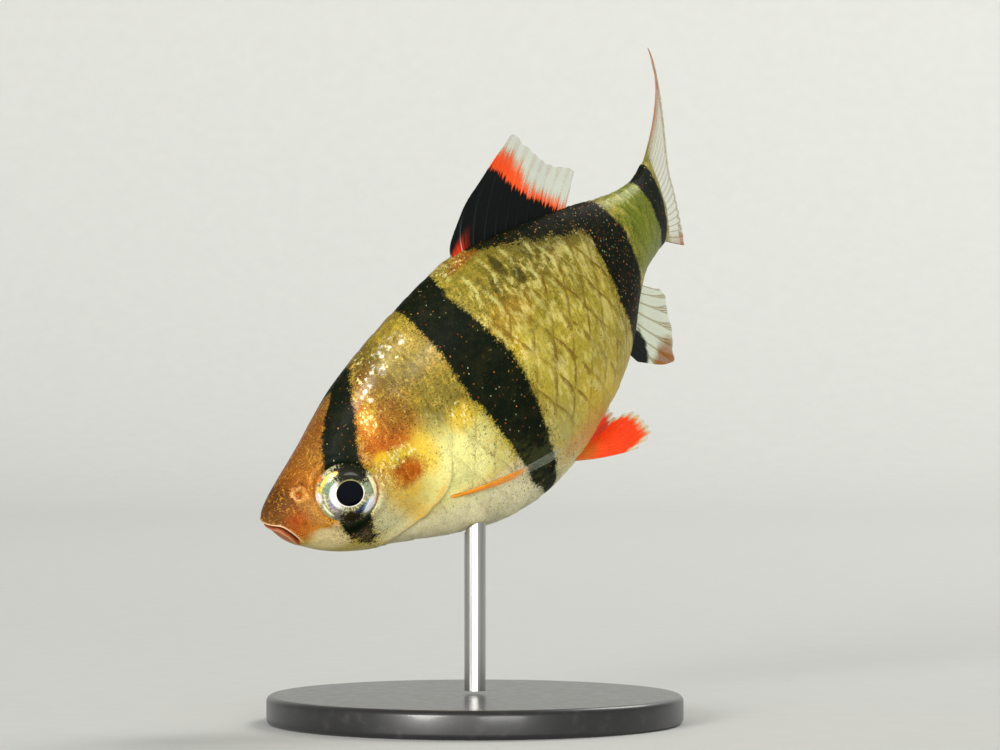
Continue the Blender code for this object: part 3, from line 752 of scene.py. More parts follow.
def paint_body(tree):
    """Colour, darkness, bump height and finish at each point of the fish."""
    place = attribute(tree, "fish")
    s, v, _ = parts(place)
    wander, grain = noise(place, 26.0, 3.0), noise(place, 120.0, 3.0, 0.7)
    fine, streak = noise(place, 420.0, 2.0, 0.6), noise(stretch(place, 1.0, 0.22), 150.0, 3.0, 0.6)
    noises = wander, grain, fine, streak
    torn = (wander - 0.5) * 0.9 + (grain - 0.5) * 1.1 + (fine - 0.5) * 0.7
    distance = band_distance(place)
    frayed = (s.above(0.49, 0.52) * v.above(0.08, 0.13)).most(s.above(0.20, 0.17) * v.above(-0.05, -0.08))
    ragged = (wander - 0.5) * 0.009 + (grain - 0.5) * 0.015 + (fine - 0.5) * 0.014
    band = (distance + ragged * (1 + 1.7 * frayed)).above(0.0030, -0.0038)
    dusk = distance.above(0.034, 0.0) * s.above(0.49, 0.53) * v.above(0.07, 0.13)
    dusk = dusk * (grain + streak - 0.5).above(0.30, 0.60) * 0.6
    colour = ground_colour(place, s, v, noises, torn)
    colour = blend(colour, (60, 54, 20), dusk.most(patches(place, BLOTS, torn * 0.8)))
    colour = add_freckles(place, colour, distance)
    black, glitter = band_colour(place, s, v, noises)
    colour = blend(colour, black, band)
    spot, chance = cells(stretch(place, 1.0, 0.60), 200.0, 1.5)
    flake = (spot + 0.2 * chance[2]).above(0.72, 0.26) * (1 - band)
    flake = flake * (chance[0] - 1 + patches(place, GOLD_PLACES)).above(-0.02, 0.05)
    colour = blend(colour, blend((255, 206, 92), (255, 246, 190), chance[1]), flake * 0.85)
    spot, chance = cells(place, 100.0, 0.9)
    pearl = spot.above(0.72, 0.12) * (1 - band)
    pearl = pearl * (chance[0] - 1 + patches(place, PEARL_PLACES)).above(-0.05, 0.15)
    colour = blend(colour, (226, 226, 206), pearl * 0.65)
    bright = flake.most(pearl)
    finish = {
        "Roughness": (0.46 + 0.24 * (grain - 0.5) - 0.16 * bright + 0.10 * band).most(0.2),
        "Metallic": (0.22 + 0.20 * bright) * (1 - band) + 0.2 * glitter * band,
        "Coat_Weight": 0.16 * (1 - 0.95 * band),
    }
    return colour, band, grain * 0.4 + wander * 0.3 + fine * 0.3, finish


print("body paint ready")

# %% Skin material, with lips, gill rim and nostrils painted on the head
WET = {"Coat Roughness": 0.18, "Specular IOR Level": 0.05}
SKIN_BUMP = 0.00005
LIP_EDGE, GAPE, LOWER_LIP = 0.0018, -0.0022, -0.0085
skin_look, skin_tree, skin_shader = new_material("fish_skin", WET)
tint, _, height, finish = paint_body(skin_tree)
place = attribute(skin_tree, "fish")
along, across, to_gill = parts(attribute(skin_tree, "mouth"))
speckle = noise(place, 260.0, 3.0, 0.6) - 0.5
lips = along.above(0.068, 0.056)
below_mouth = (across + speckle * 0.008).above(0.0, -0.003) * lips * along.above(0.080, 0.050)
# The dark line of the cleft between the lips is painted shade in the crease of the mouth.
cleft = (across + speckle * 0.003).near(GAPE, 0.0040, 0.0014) * lips * along.above(0.060, 0.048)
lower_lip = (across + speckle * 0.010).above(-0.001, -0.003) * across.above(-0.015, -0.009) * lips
chin = across.within(-0.040, -0.026, -0.016, -0.012) * along.above(0.085, 0.060)
tint = lay(
    tint,
    ((182, 84, 44), below_mouth * 0.55),
    ((222, 182, 138), (across + speckle * 0.002).near(LIP_EDGE, 0.0022, 0.0008) * lips * 0.85),
    ((146, 72, 40), lower_lip * 0.8),
    ((78, 26, 14), cleft * 0.9),
    ((206, 158, 112), (across + speckle * 0.005).near(LOWER_LIP, 0.0026, 0.0008) * lips * 0.6),
    ((150, 58, 26), chin * (speckle + 0.55).above(0.45, 0.70) * 0.7),
)
tint = shade(tint, 1 + speckle * 1.1 * lips * abs(across).above(0.030, 0.012))
low_rim = parts(place)[1].within(-0.125, -0.095, -0.07, -0.03)
low_rim = low_rim * (0.5 + 0.5 * noise(place, 30.0, 2.0).above(0.44, 0.56))
nostril = ellipse(place, (0.068, 0.051), (0.0130, 0.0115))
nostril = nostril + speckle * 0.8 + (noise(place, 90.0, 2.0) - 0.5) * 1.6
tint = lay(
    tint,
    ((232, 184, 84), (to_gill + speckle * 0.012).near(0.011, 0.010, 0.001) * low_rim * 0.8),
    ((250, 238, 170), (to_gill + speckle * 0.003).near(0.0015, 0.0026, 0.0006) * low_rim * 0.5),
    ((224, 164, 84), nostril.near(0.85, 0.36, 0.08) * 0.38),
    ((186, 80, 26), nostril.above(0.65, 0.2) * 0.6),
)
attach(skin_shader, Base_Color=tint, Normal=emboss(height, SKIN_BUMP, 0.7), **finish)
print("skin material has", len(skin_tree.nodes), "nodes")

# %% [markdown]
# ## One skin over the whole body
#
# The solids are parted at the gill opening and the tail stem; a real skin has no such cuts. A UV
# sphere is drawn out over the body instead: its poles become the snout and the end of the tail
# stem, and its rings crowd on the head, where lips, nostrils, eye rims and gill cover are carved.

# %% Relief of the head
GILL_COVER_RISE, GILL_COVER_FADE = 0.0055, 0.045
MOUTH_START, MOUTH_SLOPE, MOUTH_LENGTH = (0.0, -0.015), math.radians(-50.5), 0.059
MOUTH_BOW = (
    (-0.02, 0.0), (0.0, 0.005), (0.015, 0.0125), (0.030, 0.0115), (0.0445, 0.0075), (0.062, 0.001),
    (0.08, 0.0),
)
LIP_RISE, CLEFT_DEPTH = 0.0026, 0.0060
EYE_PLACE, EYE_RADIUS, EYE_HALF_THICKNESS, EYE_DEPTH = (0.136, -0.003), 0.054, 0.026, 0.012
SOCKET_DEPTH = 0.022
NOSTRIL_PLACE, NOSTRIL_RIM, NOSTRIL_DEPTH = (0.066, 0.022), 0.0008, 0.0030
COAT_DEPTH = 0.0010


def mouth_place(s, z):
    """How far along the mouth a point lies, and how far above its bowed line."""
    du, dv = s - MOUTH_START[0], z - MOUTH_START[1]
    along = du * math.cos(MOUTH_SLOPE) + dv * math.sin(MOUTH_SLOPE)
    across = dv * math.cos(MOUTH_SLOPE) - du * math.sin(MOUTH_SLOPE)
    return along, across - smooth(MOUTH_BOW, along)


def gill_cover(before_edge, z, side):
    """The cover swells towards its edge, more so low down; then come a slit and the scales' bed."""
    sharp = fade(z, 0.02, -0.06)
    rise = GILL_COVER_RISE * (1 - fade(before_edge, 0.0, GILL_COVER_FADE)) * (0.25 + 0.45 * sharp)
    rise = rise * side ** 0.7 * fade(before_edge, -0.0090 + 0.0055 * sharp, 0.0005)
    slit = 0.002 * bump(before_edge + 0.003, 0.003) * fade(side, 0.15, 0.5) * (0.08 + 0.42 * sharp)
    return rise - slit - COAT_DEPTH * fade(before_edge, 0.0, -0.012)


def cheek(s, z):
    """A bowed ridge behind the eye with a furrow after it."""
    past = s - (0.222 + 0.35 * (z + 0.02) ** 2 - 0.25 * np.minimum(z + 0.05, 0))
    return (0.0030 * bump(past, 0.012) - 0.0018 * bump(past - 0.016, 0.005)) * fade(z, 0.07, 0.0)


def mouth(s, z):
    """Two lips with the cleft between them."""
    along, across = mouth_place(s, z)
    lips = LIP_RISE * (bump(across - LIP_EDGE, 0.0022) + 0.8 * bump(across - LOWER_LIP, 0.0045))
    gape = 1 - fade(along, MOUTH_LENGTH - 0.006, MOUTH_LENGTH + 0.006)
    return lips * (1 - fade(along, 0.054, 0.070)) - CLEFT_DEPTH * bump(across - GAPE, 0.0019) * gape


def eye_socket(s, z):
    """A hollow for the eye inside a furrow and a raised rim."""
    out = np.hypot(s - EYE_PLACE[0], z - EYE_PLACE[1]) - EYE_RADIUS
    rim = 0.0042 * bump(out - 0.004, 0.009) - 0.0030 * bump(out + 0.0045, 0.0020)
    return rim - SOCKET_DEPTH * (1 - fade(out, -0.0115, -0.0055))


def nostril_pit(s, z):
    """A small pit with a swollen border."""
    out = np.hypot(s - NOSTRIL_PLACE[0], z - NOSTRIL_PLACE[1])
    return NOSTRIL_RIM * bump(out - 0.0095, 0.0036) - NOSTRIL_DEPTH * bump(out, 0.0045)


def carving(points, s, a):
    """How far the skin stands out from, or sinks below, the plain body."""
    side, z = np.abs(np.sin(a)), points[..., 2]
    on_flank = (cheek(s, z) + eye_socket(s, z) + nostril_pit(s, z)) * side
    return gill_cover(gill_opening(a) - s, z, side) + mouth(s, z) + on_flank


print("gill cover ends at", gill_opening(np.radians([0, 90, 180])).round(3), "on back, side and throat")

# %% Draw the sphere out over the fish
SKIN_AROUND, SKIN_RINGS = 280, 336
RING_PLACES = (
    (0.0, 0.0), (0.02, 0.0006), (0.05, 0.004), (0.10, 0.016), (0.20, 0.058), (0.32, 0.122),
    (0.44, 0.200), (0.54, 0.280), (0.62, 0.350), (0.80, 0.640), (0.95, 0.955), (1.0, BODY_END),
)
flesh = bmesh.new()
bmesh.ops.create_uvsphere(flesh, u_segments=SKIN_AROUND, v_segments=SKIN_RINGS, radius=1.0)
ball = coordinates(flesh)
skin_s = smooth(RING_PLACES, np.arccos(np.clip(ball[:, 2], -1, 1)) / math.pi)
skin_a = np.arctan2(ball[:, 1], ball[:, 0]) % (2 * math.pi)
plain = body_point(skin_s, skin_a)
carved = plain + body_normal(skin_s, skin_a) * carving(plain, skin_s, skin_a)[:, None]
poles = np.abs(ball[:, 2]) > 0.99999
carved[poles] = plain[poles]
place_all(flesh, posed(carved))
skin_map = np.stack([skin_s, flank_height(skin_s, skin_a), plain[:, 1]], axis=1)
mouth_map = np.stack([*mouth_place(skin_s, plain[:, 2]), gill_opening(skin_a) - skin_s], axis=1)
covered = ("head", "trunk", "tail_stem")
finish_piece("skin", flesh, skin_look, "skin", covered, fish=skin_map, mouth=mouth_map)

# %% [markdown]
# ## The coat of scales
#
# Each scale is rooted in the skin and covers the front of the next, like roof tiles. Rows keep
# their distance round the body and every other row is shifted by half a scale, which gives the net
# of lozenges that names the pattern. One small grid serves each scale: its front sinks into the
# skin, its free rear edge stands a tenth of a millimetre proud.

# %% Sizes of the scales
ROW_LINE, COLUMN_LINE = -0.0165, 0.5647
COLUMN_STEPS = ((0.0, 0.0397), (0.70, 0.0397), (0.90, 0.034), (1.10, 0.028))
ROW_STEPS = (
    (0.0, 0.046), (0.30, 0.049), (0.45, 0.0515), (0.65, 0.0515), (0.80, 0.043), (0.93, 0.030),
    (1.1, 0.028),
)
ROWS_EACH_WAY, ROW_MARGIN = 8, 0.35
SCALE_LENGTH = 1.75
SCALE_TUCK, SCALE_LIFT = 0.0010, 0.0008
LAST_SCALE = 1.012
RIDGE_START, KEEL_START, DORSAL_BASE, RIDGE_SHIFT = 0.275, 0.20, (0.50, 0.73), 0.01


def column_places():
    """Places of the scale tips of one row, stepping both ways from the line that is in the photo."""
    places = [COLUMN_LINE]
    while places[-1] < LAST_SCALE + 0.04:
        places.append(places[-1] + float(smooth(COLUMN_STEPS, places[-1])))
    while places[0] > 0.12:
        places.insert(0, places[0] - float(smooth(COLUMN_STEPS, places[0])))
    return np.array(places)


def row_limits(tip):
    """Distance between rows at a place, and the heights of its belly and its back."""
    step = float(smooth(ROW_STEPS, tip))
    return step, *(float(flank_height(np.array(tip), np.array(a))) for a in (math.pi, 0.0))


def scale_roots():
    """Tip place, row height and side of every scale."""
    tips = column_places()
    between_tips = (tips[1:] + tips[:-1]) / 2
    roots = []
    for row in range(-ROWS_EACH_WAY, ROWS_EACH_WAY + 1):
        for tip in (tips if row % 2 == 0 else between_tips):
            step, bottom, top = row_limits(tip)
            v = ROW_LINE + row * step
            start = float(gill_opening(turn_at(np.array(tip), np.array(v))))
            inside = bottom + ROW_MARGIN * step < v < top - ROW_MARGIN * step
            if inside and start + 0.012 < tip < LAST_SCALE:
                roots += [(tip, v, step, -1), (tip, v, step, 1)]
    for tip in tips:
        step, bottom, top = row_limits(tip)
        if RIDGE_START < tip < LAST_SCALE and not DORSAL_BASE[0] < tip < DORSAL_BASE[1]:
            roots.append((tip - RIDGE_SHIFT, top, step, -1))
        if KEEL_START < tip < LAST_SCALE:
            roots.append((tip - RIDGE_SHIFT, bottom, step, -1))
    return np.array(roots)


roots = scale_roots()
print(len(roots), "scales")

# %% Scale material: the paint of the body, with a soft dark net along the free edges and a painted highlight streak inside the free edges of the upper scales
RIPPLES = 70.0
scale_look, scale_tree, scale_shader = new_material("fish_scales", WET)
tint, band, height, finish = paint_body(scale_tree)
along, across, chance = parts(attribute(scale_tree, "scale"))
place = attribute(scale_tree, "fish")
s, v, _ = parts(place)
speckle = noise(place, 240.0, 3.0, 0.65) - 0.5
clouds = noise(place, 12.0, 2.0).above(0.30, 0.62)
broken = noise(place, 48.0, 3.0, 0.6)
worn = along + speckle * 0.22 + (broken - 0.5) * 0.16
middle_flank = v.within(-0.18, -0.06, 0.12, 0.19) * s.within(0.30, 0.47, 0.70, 0.85)
net = worn.above(0.885, 0.975) * broken.above(0.30, 0.52) * (0.7 + 0.5 * chance) * (1 - band)
net = net * (0.06 + 0.72 * middle_flank * (0.25 + 0.75 * clouds))
# The pale streak just inside each free edge, stronger higher on the flank, is a painted highlight where
# light catches the upper scales.
gleam_by_height = 0.12 + 0.38 * v.above(0.04, 0.13)
painted_gleam = worn.within(0.79, 0.84, 0.87, 0.92) * abs(across + speckle * 1.2).above(0.80, 0.30)
painted_gleam = painted_gleam * (1 - band) * gleam_by_height * broken.above(0.35, 0.60) * s.above(0.40, 0.48)
lines = noise(stretch(place, 420.0, 60.0), 1.0, 2.0)
tint = lay(
    shade(tint, (0.84 + 0.22 * chance) * (0.80 + 0.40 * lines)),
    ((218, 212, 134), painted_gleam),
    ((112, 80, 18), net.least(0.85)),
)
relief = emboss(height + (along * RIPPLES).math("SINE") * 0.08, SKIN_BUMP, 0.6)
attach(scale_shader, Base_Color=tint, Normal=relief, **finish)
print("scale material has", len(scale_tree.nodes), "nodes")

# %% Lay every scale on the skin
SCALE_CELLS = 7
PATCH = 0.003
TIP_JITTER, STAND_JITTER, ROW_OVERLAP, RIM_SINK = 0.03, 0.00012, 1.04, 0.0008
coat = bmesh.new()
for _ in roots:
    bmesh.ops.create_grid(coat, x_segments=SCALE_CELLS, y_segments=SCALE_CELLS, size=0.5)
tile = coordinates(coat)
per_scale = (SCALE_CELLS + 1) ** 2
owner = np.repeat(np.arange(len(roots)), per_scale)
tip, row_v, row_step, which_side = roots[owner].T
forward, sideways = tile[:, 0] + 0.5, tile[:, 1] * 2
column_step = smooth(COLUMN_STEPS, tip)
round_edge = 0.5 * np.abs(sideways) ** 1.45
narrow = np.sqrt(np.clip(1 - (1 - forward) ** 4, 0, 1)) * 0.25 + 0.75
jitter = draw.normal(0.0, 1.0, (len(roots), 2))[owner]
behind_tip = round_edge + (1 - forward) * (SCALE_LENGTH - round_edge)
scale_s = tip + column_step * (TIP_JITTER * jitter[:, 0] - behind_tip)
scale_v = row_v + row_step * sideways * ROW_OVERLAP * narrow
scale_a = turn_at(np.clip(scale_s, 0.0, 1.03), scale_v)
rim = (np.abs(sideways) > 0.999) | (forward > 0.999) | (forward < 0.001)
stand = (SCALE_LIFT + SCALE_TUCK) * forward ** 0.8 * (1 - 0.25 * sideways ** 2)
stand = stand - SCALE_TUCK - COAT_DEPTH + COAT_DEPTH * fade(forward, 0.2, 0.9)
stand = np.where(rim & (forward < 0.999), stand - RIM_SINK, stand)
stand = stand + STAND_JITTER * jitter[:, 1] * forward
flat = body_point(scale_s, scale_a)
lifted = flat + body_normal(scale_s, scale_a) * stand[:, None]
mirror = np.stack([np.ones_like(which_side), -which_side, np.ones_like(which_side)], axis=1)
place_all(coat, posed(lifted * mirror))
scale_map = np.stack([scale_s, flank_height(scale_s, scale_a), (flat * mirror)[:, 1]], axis=1)
scale_own = np.stack([forward, sideways, draw.random(len(roots))[owner]], axis=1)
patch_layer = coat.loops.layers.uv.new("OFBake")
root_turn = turn_at(tip, row_v)
root_turn = np.where(which_side < 0, root_turn, 2 * math.pi - root_turn)
patch_u = 0.03 + 0.9 * tip + (forward - 0.5) * PATCH
patch_v = 0.08 + 0.84 * root_turn / (2 * math.pi) + tile[:, 1] * PATCH
coat.verts.index_update()
for face in coat.faces:
    for loop in face.loops:
        i = loop.vert.index
        loop[patch_layer].uv = (patch_u[i], patch_v[i])
finish_piece("scales", coat, scale_look, "skin", fish=scale_map, scale=scale_own)

# %% [markdown]
# ## Eyes
#
# A barb's eye is a shallow dome: a bright silver and gold iris with a dark smudge where the band
# crosses it, and a pupil that bulges with the lens. The dome is a squashed sphere, the lens a small
# swelling in its middle, and a clear coat gives the wet shine.

# %% Arcs of colour on the iris
PUPIL_PLACE, PUPIL_RADIUS = (0.084, 0.046), 0.412
DISC, PUPIL = (0.0, 0.0), PUPIL_PLACE
# Each arc: ring's middle, direction and half spread in degrees, radius, half width, colour, strength
IRIS_ARCS = (
    # dull ground beside the bright parts
    (DISC, 0, 24, 0.64, 0.12, (138, 156, 124), 0.9), (DISC, 130, 24, 0.62, 0.14, (120, 144, 116), 0.9),
    (DISC, -67, 22, 0.90, 0.07, (108, 118, 86), 0.9), (DISC, -137, 15, 0.74, 0.20, (116, 112, 104), 1.0),
    # dark smudges where the band crosses, and the blue beside the lower one
    (DISC, 59, 46, 0.70, 0.34, (26, 27, 16), 1.0), (DISC, -105, 27, 0.74, 0.24, (38, 32, 16), 1.0),
    (DISC, -72, 17, 0.62, 0.11, (34, 40, 72), 0.9),
    # silver, with its whitest patches painted as the reflection of light in it
    (PUPIL, 168, 50, 0.52, 0.105, (232, 234, 240), 1.0), (DISC, -50, 22, 0.77, 0.12, (244, 246, 250), 1.0),
    (DISC, 163, 11, 0.88, 0.09, (232, 222, 222), 1.0), (DISC, 196, 18, 0.80, 0.04, (236, 236, 200), 1.0),
    (DISC, 171, 20, 0.705, 0.025, (226, 226, 168), 0.8),
    # violet, blue and green sheen round the silver
    (PUPIL, 188, 15, 0.67, 0.05, (138, 132, 206), 0.55), (PUPIL, 204, 9, 0.72, 0.06, (178, 146, 178), 0.55),
    (DISC, -54, 18, 0.64, 0.03, (92, 150, 220), 0.6), (DISC, 203, 15, 0.90, 0.05, (146, 180, 138), 0.7),
    # gold and its orange ends, and the flesh-coloured crescent behind
    (DISC, 126, 26, 0.83, 0.045, (232, 206, 88), 1.0), (DISC, 96, 8, 0.79, 0.05, (220, 152, 62), 1.0),
    (DISC, 128, 8, 0.955, 0.03, (226, 112, 48), 0.9), (DISC, 146, 7, 0.91, 0.035, (250, 204, 92), 0.9),
    (DISC, -8, 26, 0.84, 0.06, (250, 240, 186), 1.0), (DISC, -21, 30, 0.935, 0.055, (190, 126, 86), 1.0),
)


print(len(IRIS_ARCS), "arcs on the iris")

# %% Iris and pupil paint


def arc(disc, centre, toward, spread, reach, width):
    """1 on the border of a piece of a ring about centre, less inside it."""
    toward, spread = math.radians(toward), math.radians(spread)
    away = vector_math("SUBTRACT", disc, (*centre, 0.0))
    distance = length(away)
    aim = (math.cos(toward), math.sin(toward), 0.0)
    heading = vector_math("DOT_PRODUCT", away, aim, output=NUMBER_OUTPUT) / distance
    off = (distance - reach) / width
    return (1 - heading) / (1 - math.cos(spread)) + off * off


eye_look, eye_tree, eye_shader = new_material("eye", {"Coat Roughness": 0.03, "Specular IOR Level": 0.12})
disc = attribute(eye_tree, "disc")
back_way, up_way, _ = parts(disc)
radius = length(disc)
from_pupil = ellipse(disc, PUPIL_PLACE, (1.0, 1.0))
fibres = noise(disc, 10.0, 4.0, 0.7) - 0.5
rays = noise(vector_math("NORMALIZE", disc), 9.0, 3.0) - 0.5
mottle = noise(disc, 22.0, 3.0, 0.8) - 0.5
ground = (fibres + mottle + rays + 0.5).above(0.30, 0.70)
iris = blend((104, 106, 82), (196, 190, 146), ground)
for *shape, colour, strength in IRIS_ARCS:
    edge = arc(disc, *shape) + fibres * 2.2 + mottle * 3.0
    iris = blend(iris, colour, edge.above(1.5, 0.65) * strength)
screen_up = back_way * 0.48 + up_way * 0.88
right_way = back_way * 0.88 - up_way * 0.48
limb = blend((186, 124, 56), (62, 28, 14), (right_way + fibres * 0.5).above(0.10, 0.45))
limb = blend(limb, (26, 24, 14), (screen_up + fibres * 0.5).above(0.45, 0.70))
iris = blend(iris, limb, (radius + fibres * 0.04).above(0.955, 0.985))
ring = blend((255, 250, 236), (126, 122, 74), (screen_up - 0.1 * right_way).above(0.20, 0.42))
iris = blend(iris, ring, (from_pupil + mottle * 0.012).near(PUPIL_RADIUS + 0.018, 0.028, 0.010))
iris = shade(iris, 0.95 + 1.6 * mottle + 0.8 * fibres)
outside = from_pupil.above(PUPIL_RADIUS - 0.008, PUPIL_RADIUS + 0.008)
eye_tint = blend((2, 4, 12), iris, outside)
silver = outside * radius.above(0.96, 0.92)
attach(
    eye_shader, Base_Color=eye_tint, Metallic=silver * 0.30, Roughness=0.12 + 0.20 * silver,
    Coat_Weight=0.03 + 0.14 * outside,
)
print("eye material has", len(eye_tree.nodes), "nodes")

# %% Set an eye in each side of the head


def surface_frame(s, z, side):
    """A point on the flank, with its outward, rearward and upward directions."""
    top, bottom = float(blunt(BACK, s)), float(blunt(BELLY, s))
    middle = bottom + WIDEST_PART * (top - bottom)
    reach = top - middle if z > middle else middle - bottom
    a = np.array(math.acos((z - middle) / reach))
    point, normal = body_point(np.array(s), a), body_normal(np.array(s), a)
    flip = np.array([1.0, -side, 1.0])
    point, normal = point * flip, normal * flip
    rear = np.array([1.0, 0.0, 0.0]) - normal * normal[0]
    rear /= np.linalg.norm(rear)
    up = np.cross(rear, normal) * side
    return point, normal, rear, up if up[2] > 0 else -up


LENS_RADIUS, LENS_RISE = 0.43, 0.0018
for side, name in ((-1, "eye_left"), (1, "eye_right")):
    dome = bmesh.new()
    bmesh.ops.create_uvsphere(dome, u_segments=64, v_segments=48, radius=1.0)
    ball = coordinates(dome)
    reach = np.hypot(ball[:, 0], ball[:, 1])
    from_pupil = np.hypot(ball[:, 0] - PUPIL_PLACE[0], ball[:, 1] - PUPIL_PLACE[1])
    lens = LENS_RISE * np.sqrt(np.clip(1 - (from_pupil / LENS_RADIUS) ** 2, 0, 1)) * (ball[:, 2] > 0)
    point, normal, rear, up = surface_frame(*EYE_PLACE, side)
    centre = point - EYE_DEPTH * normal
    spread = EYE_RADIUS * (ball[:, :1] * rear + ball[:, 1:2] * up)
    swell = EYE_HALF_THICKNESS * ball[:, 2] * (1 - 0.10 * fade(reach, 0.75, 0.35)) + lens
    place_all(dome, posed(centre + spread + swell[:, None] * normal))
    finish_piece(name + "_dome", dome, eye_look, "eye", (name,), disc=ball * np.array([1, 1, 0]))

# %% [markdown]
# ## Fins
#
# A fin is a skin so thin that light comes through it, stretched over bony rays that split towards
# the margin. A flat plane with a painted pattern would look like paper, so each fin is a closed
# thin sheet: two grids, front and back, whose distance swells along each ray and its branches.

# %% Shape of a fin's middle surface
FIN_STEPS, CELLS_PER_RAY = 34, 16
RAY_ROOT, RAY_TIP, WEB_ROOT, WEB_TIP = 0.00011, 0.00004, 0.00004, 0.00002
ROOT_SINK, FIRST_FORK, SECOND_FORK = 0.010, 0.13, 0.075


def fin_middle(fin, f, t):
    """Straight fish places at share f from the first ray to the last and t from root to margin."""
    rays = fin["rays"]
    notch = fin["notch"] * (0.5 - 0.5 * np.cos(2 * math.pi * f * (rays - 1)))
    root = fin["root"](f)
    tip = smooth(fin["margin"], f)
    tip = tip + (root - tip) * notch[..., None]
    chord = tip - root
    facing = np.broadcast_to(np.array(fin["facing"], float), chord.shape)
    middle = (root + tip) / 2 + np.cross(facing, chord) * np.asarray(fin["bow"](f))[..., None]
    t = t[..., None]
    aside = np.array([0.0, fin.get("sway", 0.0), 0.0]) * 4 * t * (1 - t)
    wave = np.array([0.0, fin.get("wave", 0.0), 0.0]) * np.sin(f * 17 + t[..., 0] * 2.0)[..., None] * t
    return root * (1 - t) ** 2 + 2 * middle * t * (1 - t) + tip * t * t + aside + wave


def ray_ridge(fin, f, t):
    """1 on a ray or on one of its branches, falling to 0 on the web between."""
    across = f * (fin["rays"] - 1)
    nearest = across - np.round(across)
    first = FIRST_FORK * fade(t, fin["split"], 1.0)
    second = SECOND_FORK * fade(t, fin["split"] + 0.3, 1.0)
    ridge = np.zeros_like(nearest)
    for one in (-1, 1):
        for two in (-1, 1):
            ridge = np.maximum(ridge, bump(nearest - one * first - two * second, 0.062 - 0.022 * t))
    return ridge


print("fin shape ready, rays", RAY_ROOT * 2000, "mm thick at the root")

# %% A closed sheet for each fin


def make_fin(name, fin, material, slot):
    """Two grids, front and back, joined round their border."""
    sheet = bmesh.new()
    columns = (fin["rays"] - 1) * CELLS_PER_RAY
    for height in (1.0, -1.0):
        made = bmesh.ops.create_grid(sheet, x_segments=columns, y_segments=FIN_STEPS, size=0.5)
        bmesh.ops.translate(sheet, verts=made["verts"], vec=(0.5, 0.5, height))
    borders = [edge for edge in sheet.edges if edge.is_boundary]
    bmesh.ops.bridge_loops(sheet, edges=borders)
    grid = coordinates(sheet)
    f, t, face = grid[:, 0], grid[:, 1], np.sign(grid[:, 2])
    small = 1e-3
    centre = fin_middle(fin, f, t)
    along = posed(fin_middle(fin, f, t + small)) - posed(fin_middle(fin, f, t - small))
    across = posed(fin_middle(fin, f + small, t)) - posed(fin_middle(fin, f - small, t))
    normal = np.cross(along, across)
    normal /= np.maximum(np.linalg.norm(normal, axis=1, keepdims=True), 1e-12)
    ridge = ray_ridge(fin, f, t)
    stout = fin.get("stout", 1.0)
    ray = RAY_ROOT + (RAY_TIP - RAY_ROOT) * np.clip(t, 0, 1)
    web = WEB_ROOT + (WEB_TIP - WEB_ROOT) * np.clip(t, 0, 1)
    half = (web + (ray * stout - web) * ridge)[:, None] * face[:, None]
    place_all(sheet, posed(centre) + half * normal)
    spread = np.stack([f, t, ridge], axis=1)
    flat = centre[:, [0, 2, 1]]
    finish_piece(name + "_web", sheet, material, slot, (name,), fin=spread, fish=flat)


print("a fin has", FIN_STEPS, "rows of cells from root to margin")

# %% Roots of the fins


def line_root(first, last):
    """A root that runs straight from one point to another."""
    first, last = np.array(first), np.array(last)
    return lambda f: first + (last - first) * f[..., None]


def back_root(start, end, outline, sink):
    """A root that follows the back or the belly, sunk into the body."""
    def root(f):
        s = start + (end - start) * f
        return np.stack([s, 0 * s, blunt(outline, s) + sink], axis=-1)
    return root


def flank_root(first, last, side, rise):
    """A root on the flank of the given side, that far out from the plain body."""
    ends = []
    for s, z in (first, last):
        point, normal, *_ = surface_frame(s, z, side)
        ends.append(point + normal * rise)
    return line_root(*ends)


print("root helpers ready")

# %% Margins of the fins
DORSAL_MARGIN = (
    (0.0, (0.495, 0.0, 0.262)), (0.09, (0.545, 0.0, 0.302)), (0.18, (0.620, 0.002, 0.331)),
    (0.27, (0.682, 0.006, 0.344)), (0.40, (0.704, 0.010, 0.315)), (0.55, (0.722, 0.012, 0.279)),
    (0.75, (0.752, 0.012, 0.238)), (0.90, (0.782, 0.010, 0.214)), (1.0, (0.793, 0.008, 0.200)),
)
ANAL_MARGIN = (
    (0.0, (0.770, 0.0, -0.180)), (0.12, (0.822, 0.0, -0.222)), (0.25, (0.884, 0.002, -0.258)),
    (0.42, (0.906, 0.004, -0.236)), (0.60, (0.926, 0.006, -0.204)), (0.80, (0.944, 0.008, -0.166)),
    (1.0, (0.932, 0.009, -0.134)),
)
TAIL_MARGIN = (
    (0.0, (1.285, 0.0, 0.163)), (0.05, (1.303, 0.0, 0.152)), (0.12, (1.285, 0.0, 0.125)),
    (0.25, (1.222, 0.0, 0.073)), (0.38, (1.165, 0.0, 0.028)), (0.50, (1.138, 0.0, -0.008)),
    (0.62, (1.155, 0.004, -0.052)), (0.75, (1.192, 0.012, -0.110)), (0.88, (1.235, 0.022, -0.170)),
    (0.95, (1.248, 0.026, -0.200)), (1.0, (1.230, 0.026, -0.212)),
)
PECTORAL_FOLDED = (
    (0.0, (0.455, 0.110, -0.116)), (0.15, (0.468, 0.111, -0.119)), (0.5, (0.472, 0.109, -0.126)),
    (0.8, (0.464, 0.107, -0.132)), (1.0, (0.452, 0.104, -0.135)),
)
PECTORAL_OPEN = (
    (0.0, (0.432, 0.137, -0.098)), (0.15, (0.452, 0.140, -0.108)), (0.5, (0.454, 0.133, -0.140)),
    (0.8, (0.432, 0.122, -0.163)), (1.0, (0.405, 0.113, -0.172)),
)
PELVIC_MARGIN = (
    (0.0, (0.642, 0.042, -0.268)), (0.18, (0.683, 0.038, -0.272)), (0.5, (0.690, 0.032, -0.245)),
    (0.8, (0.672, 0.026, -0.213)), (1.0, (0.640, 0.022, -0.203)),
)


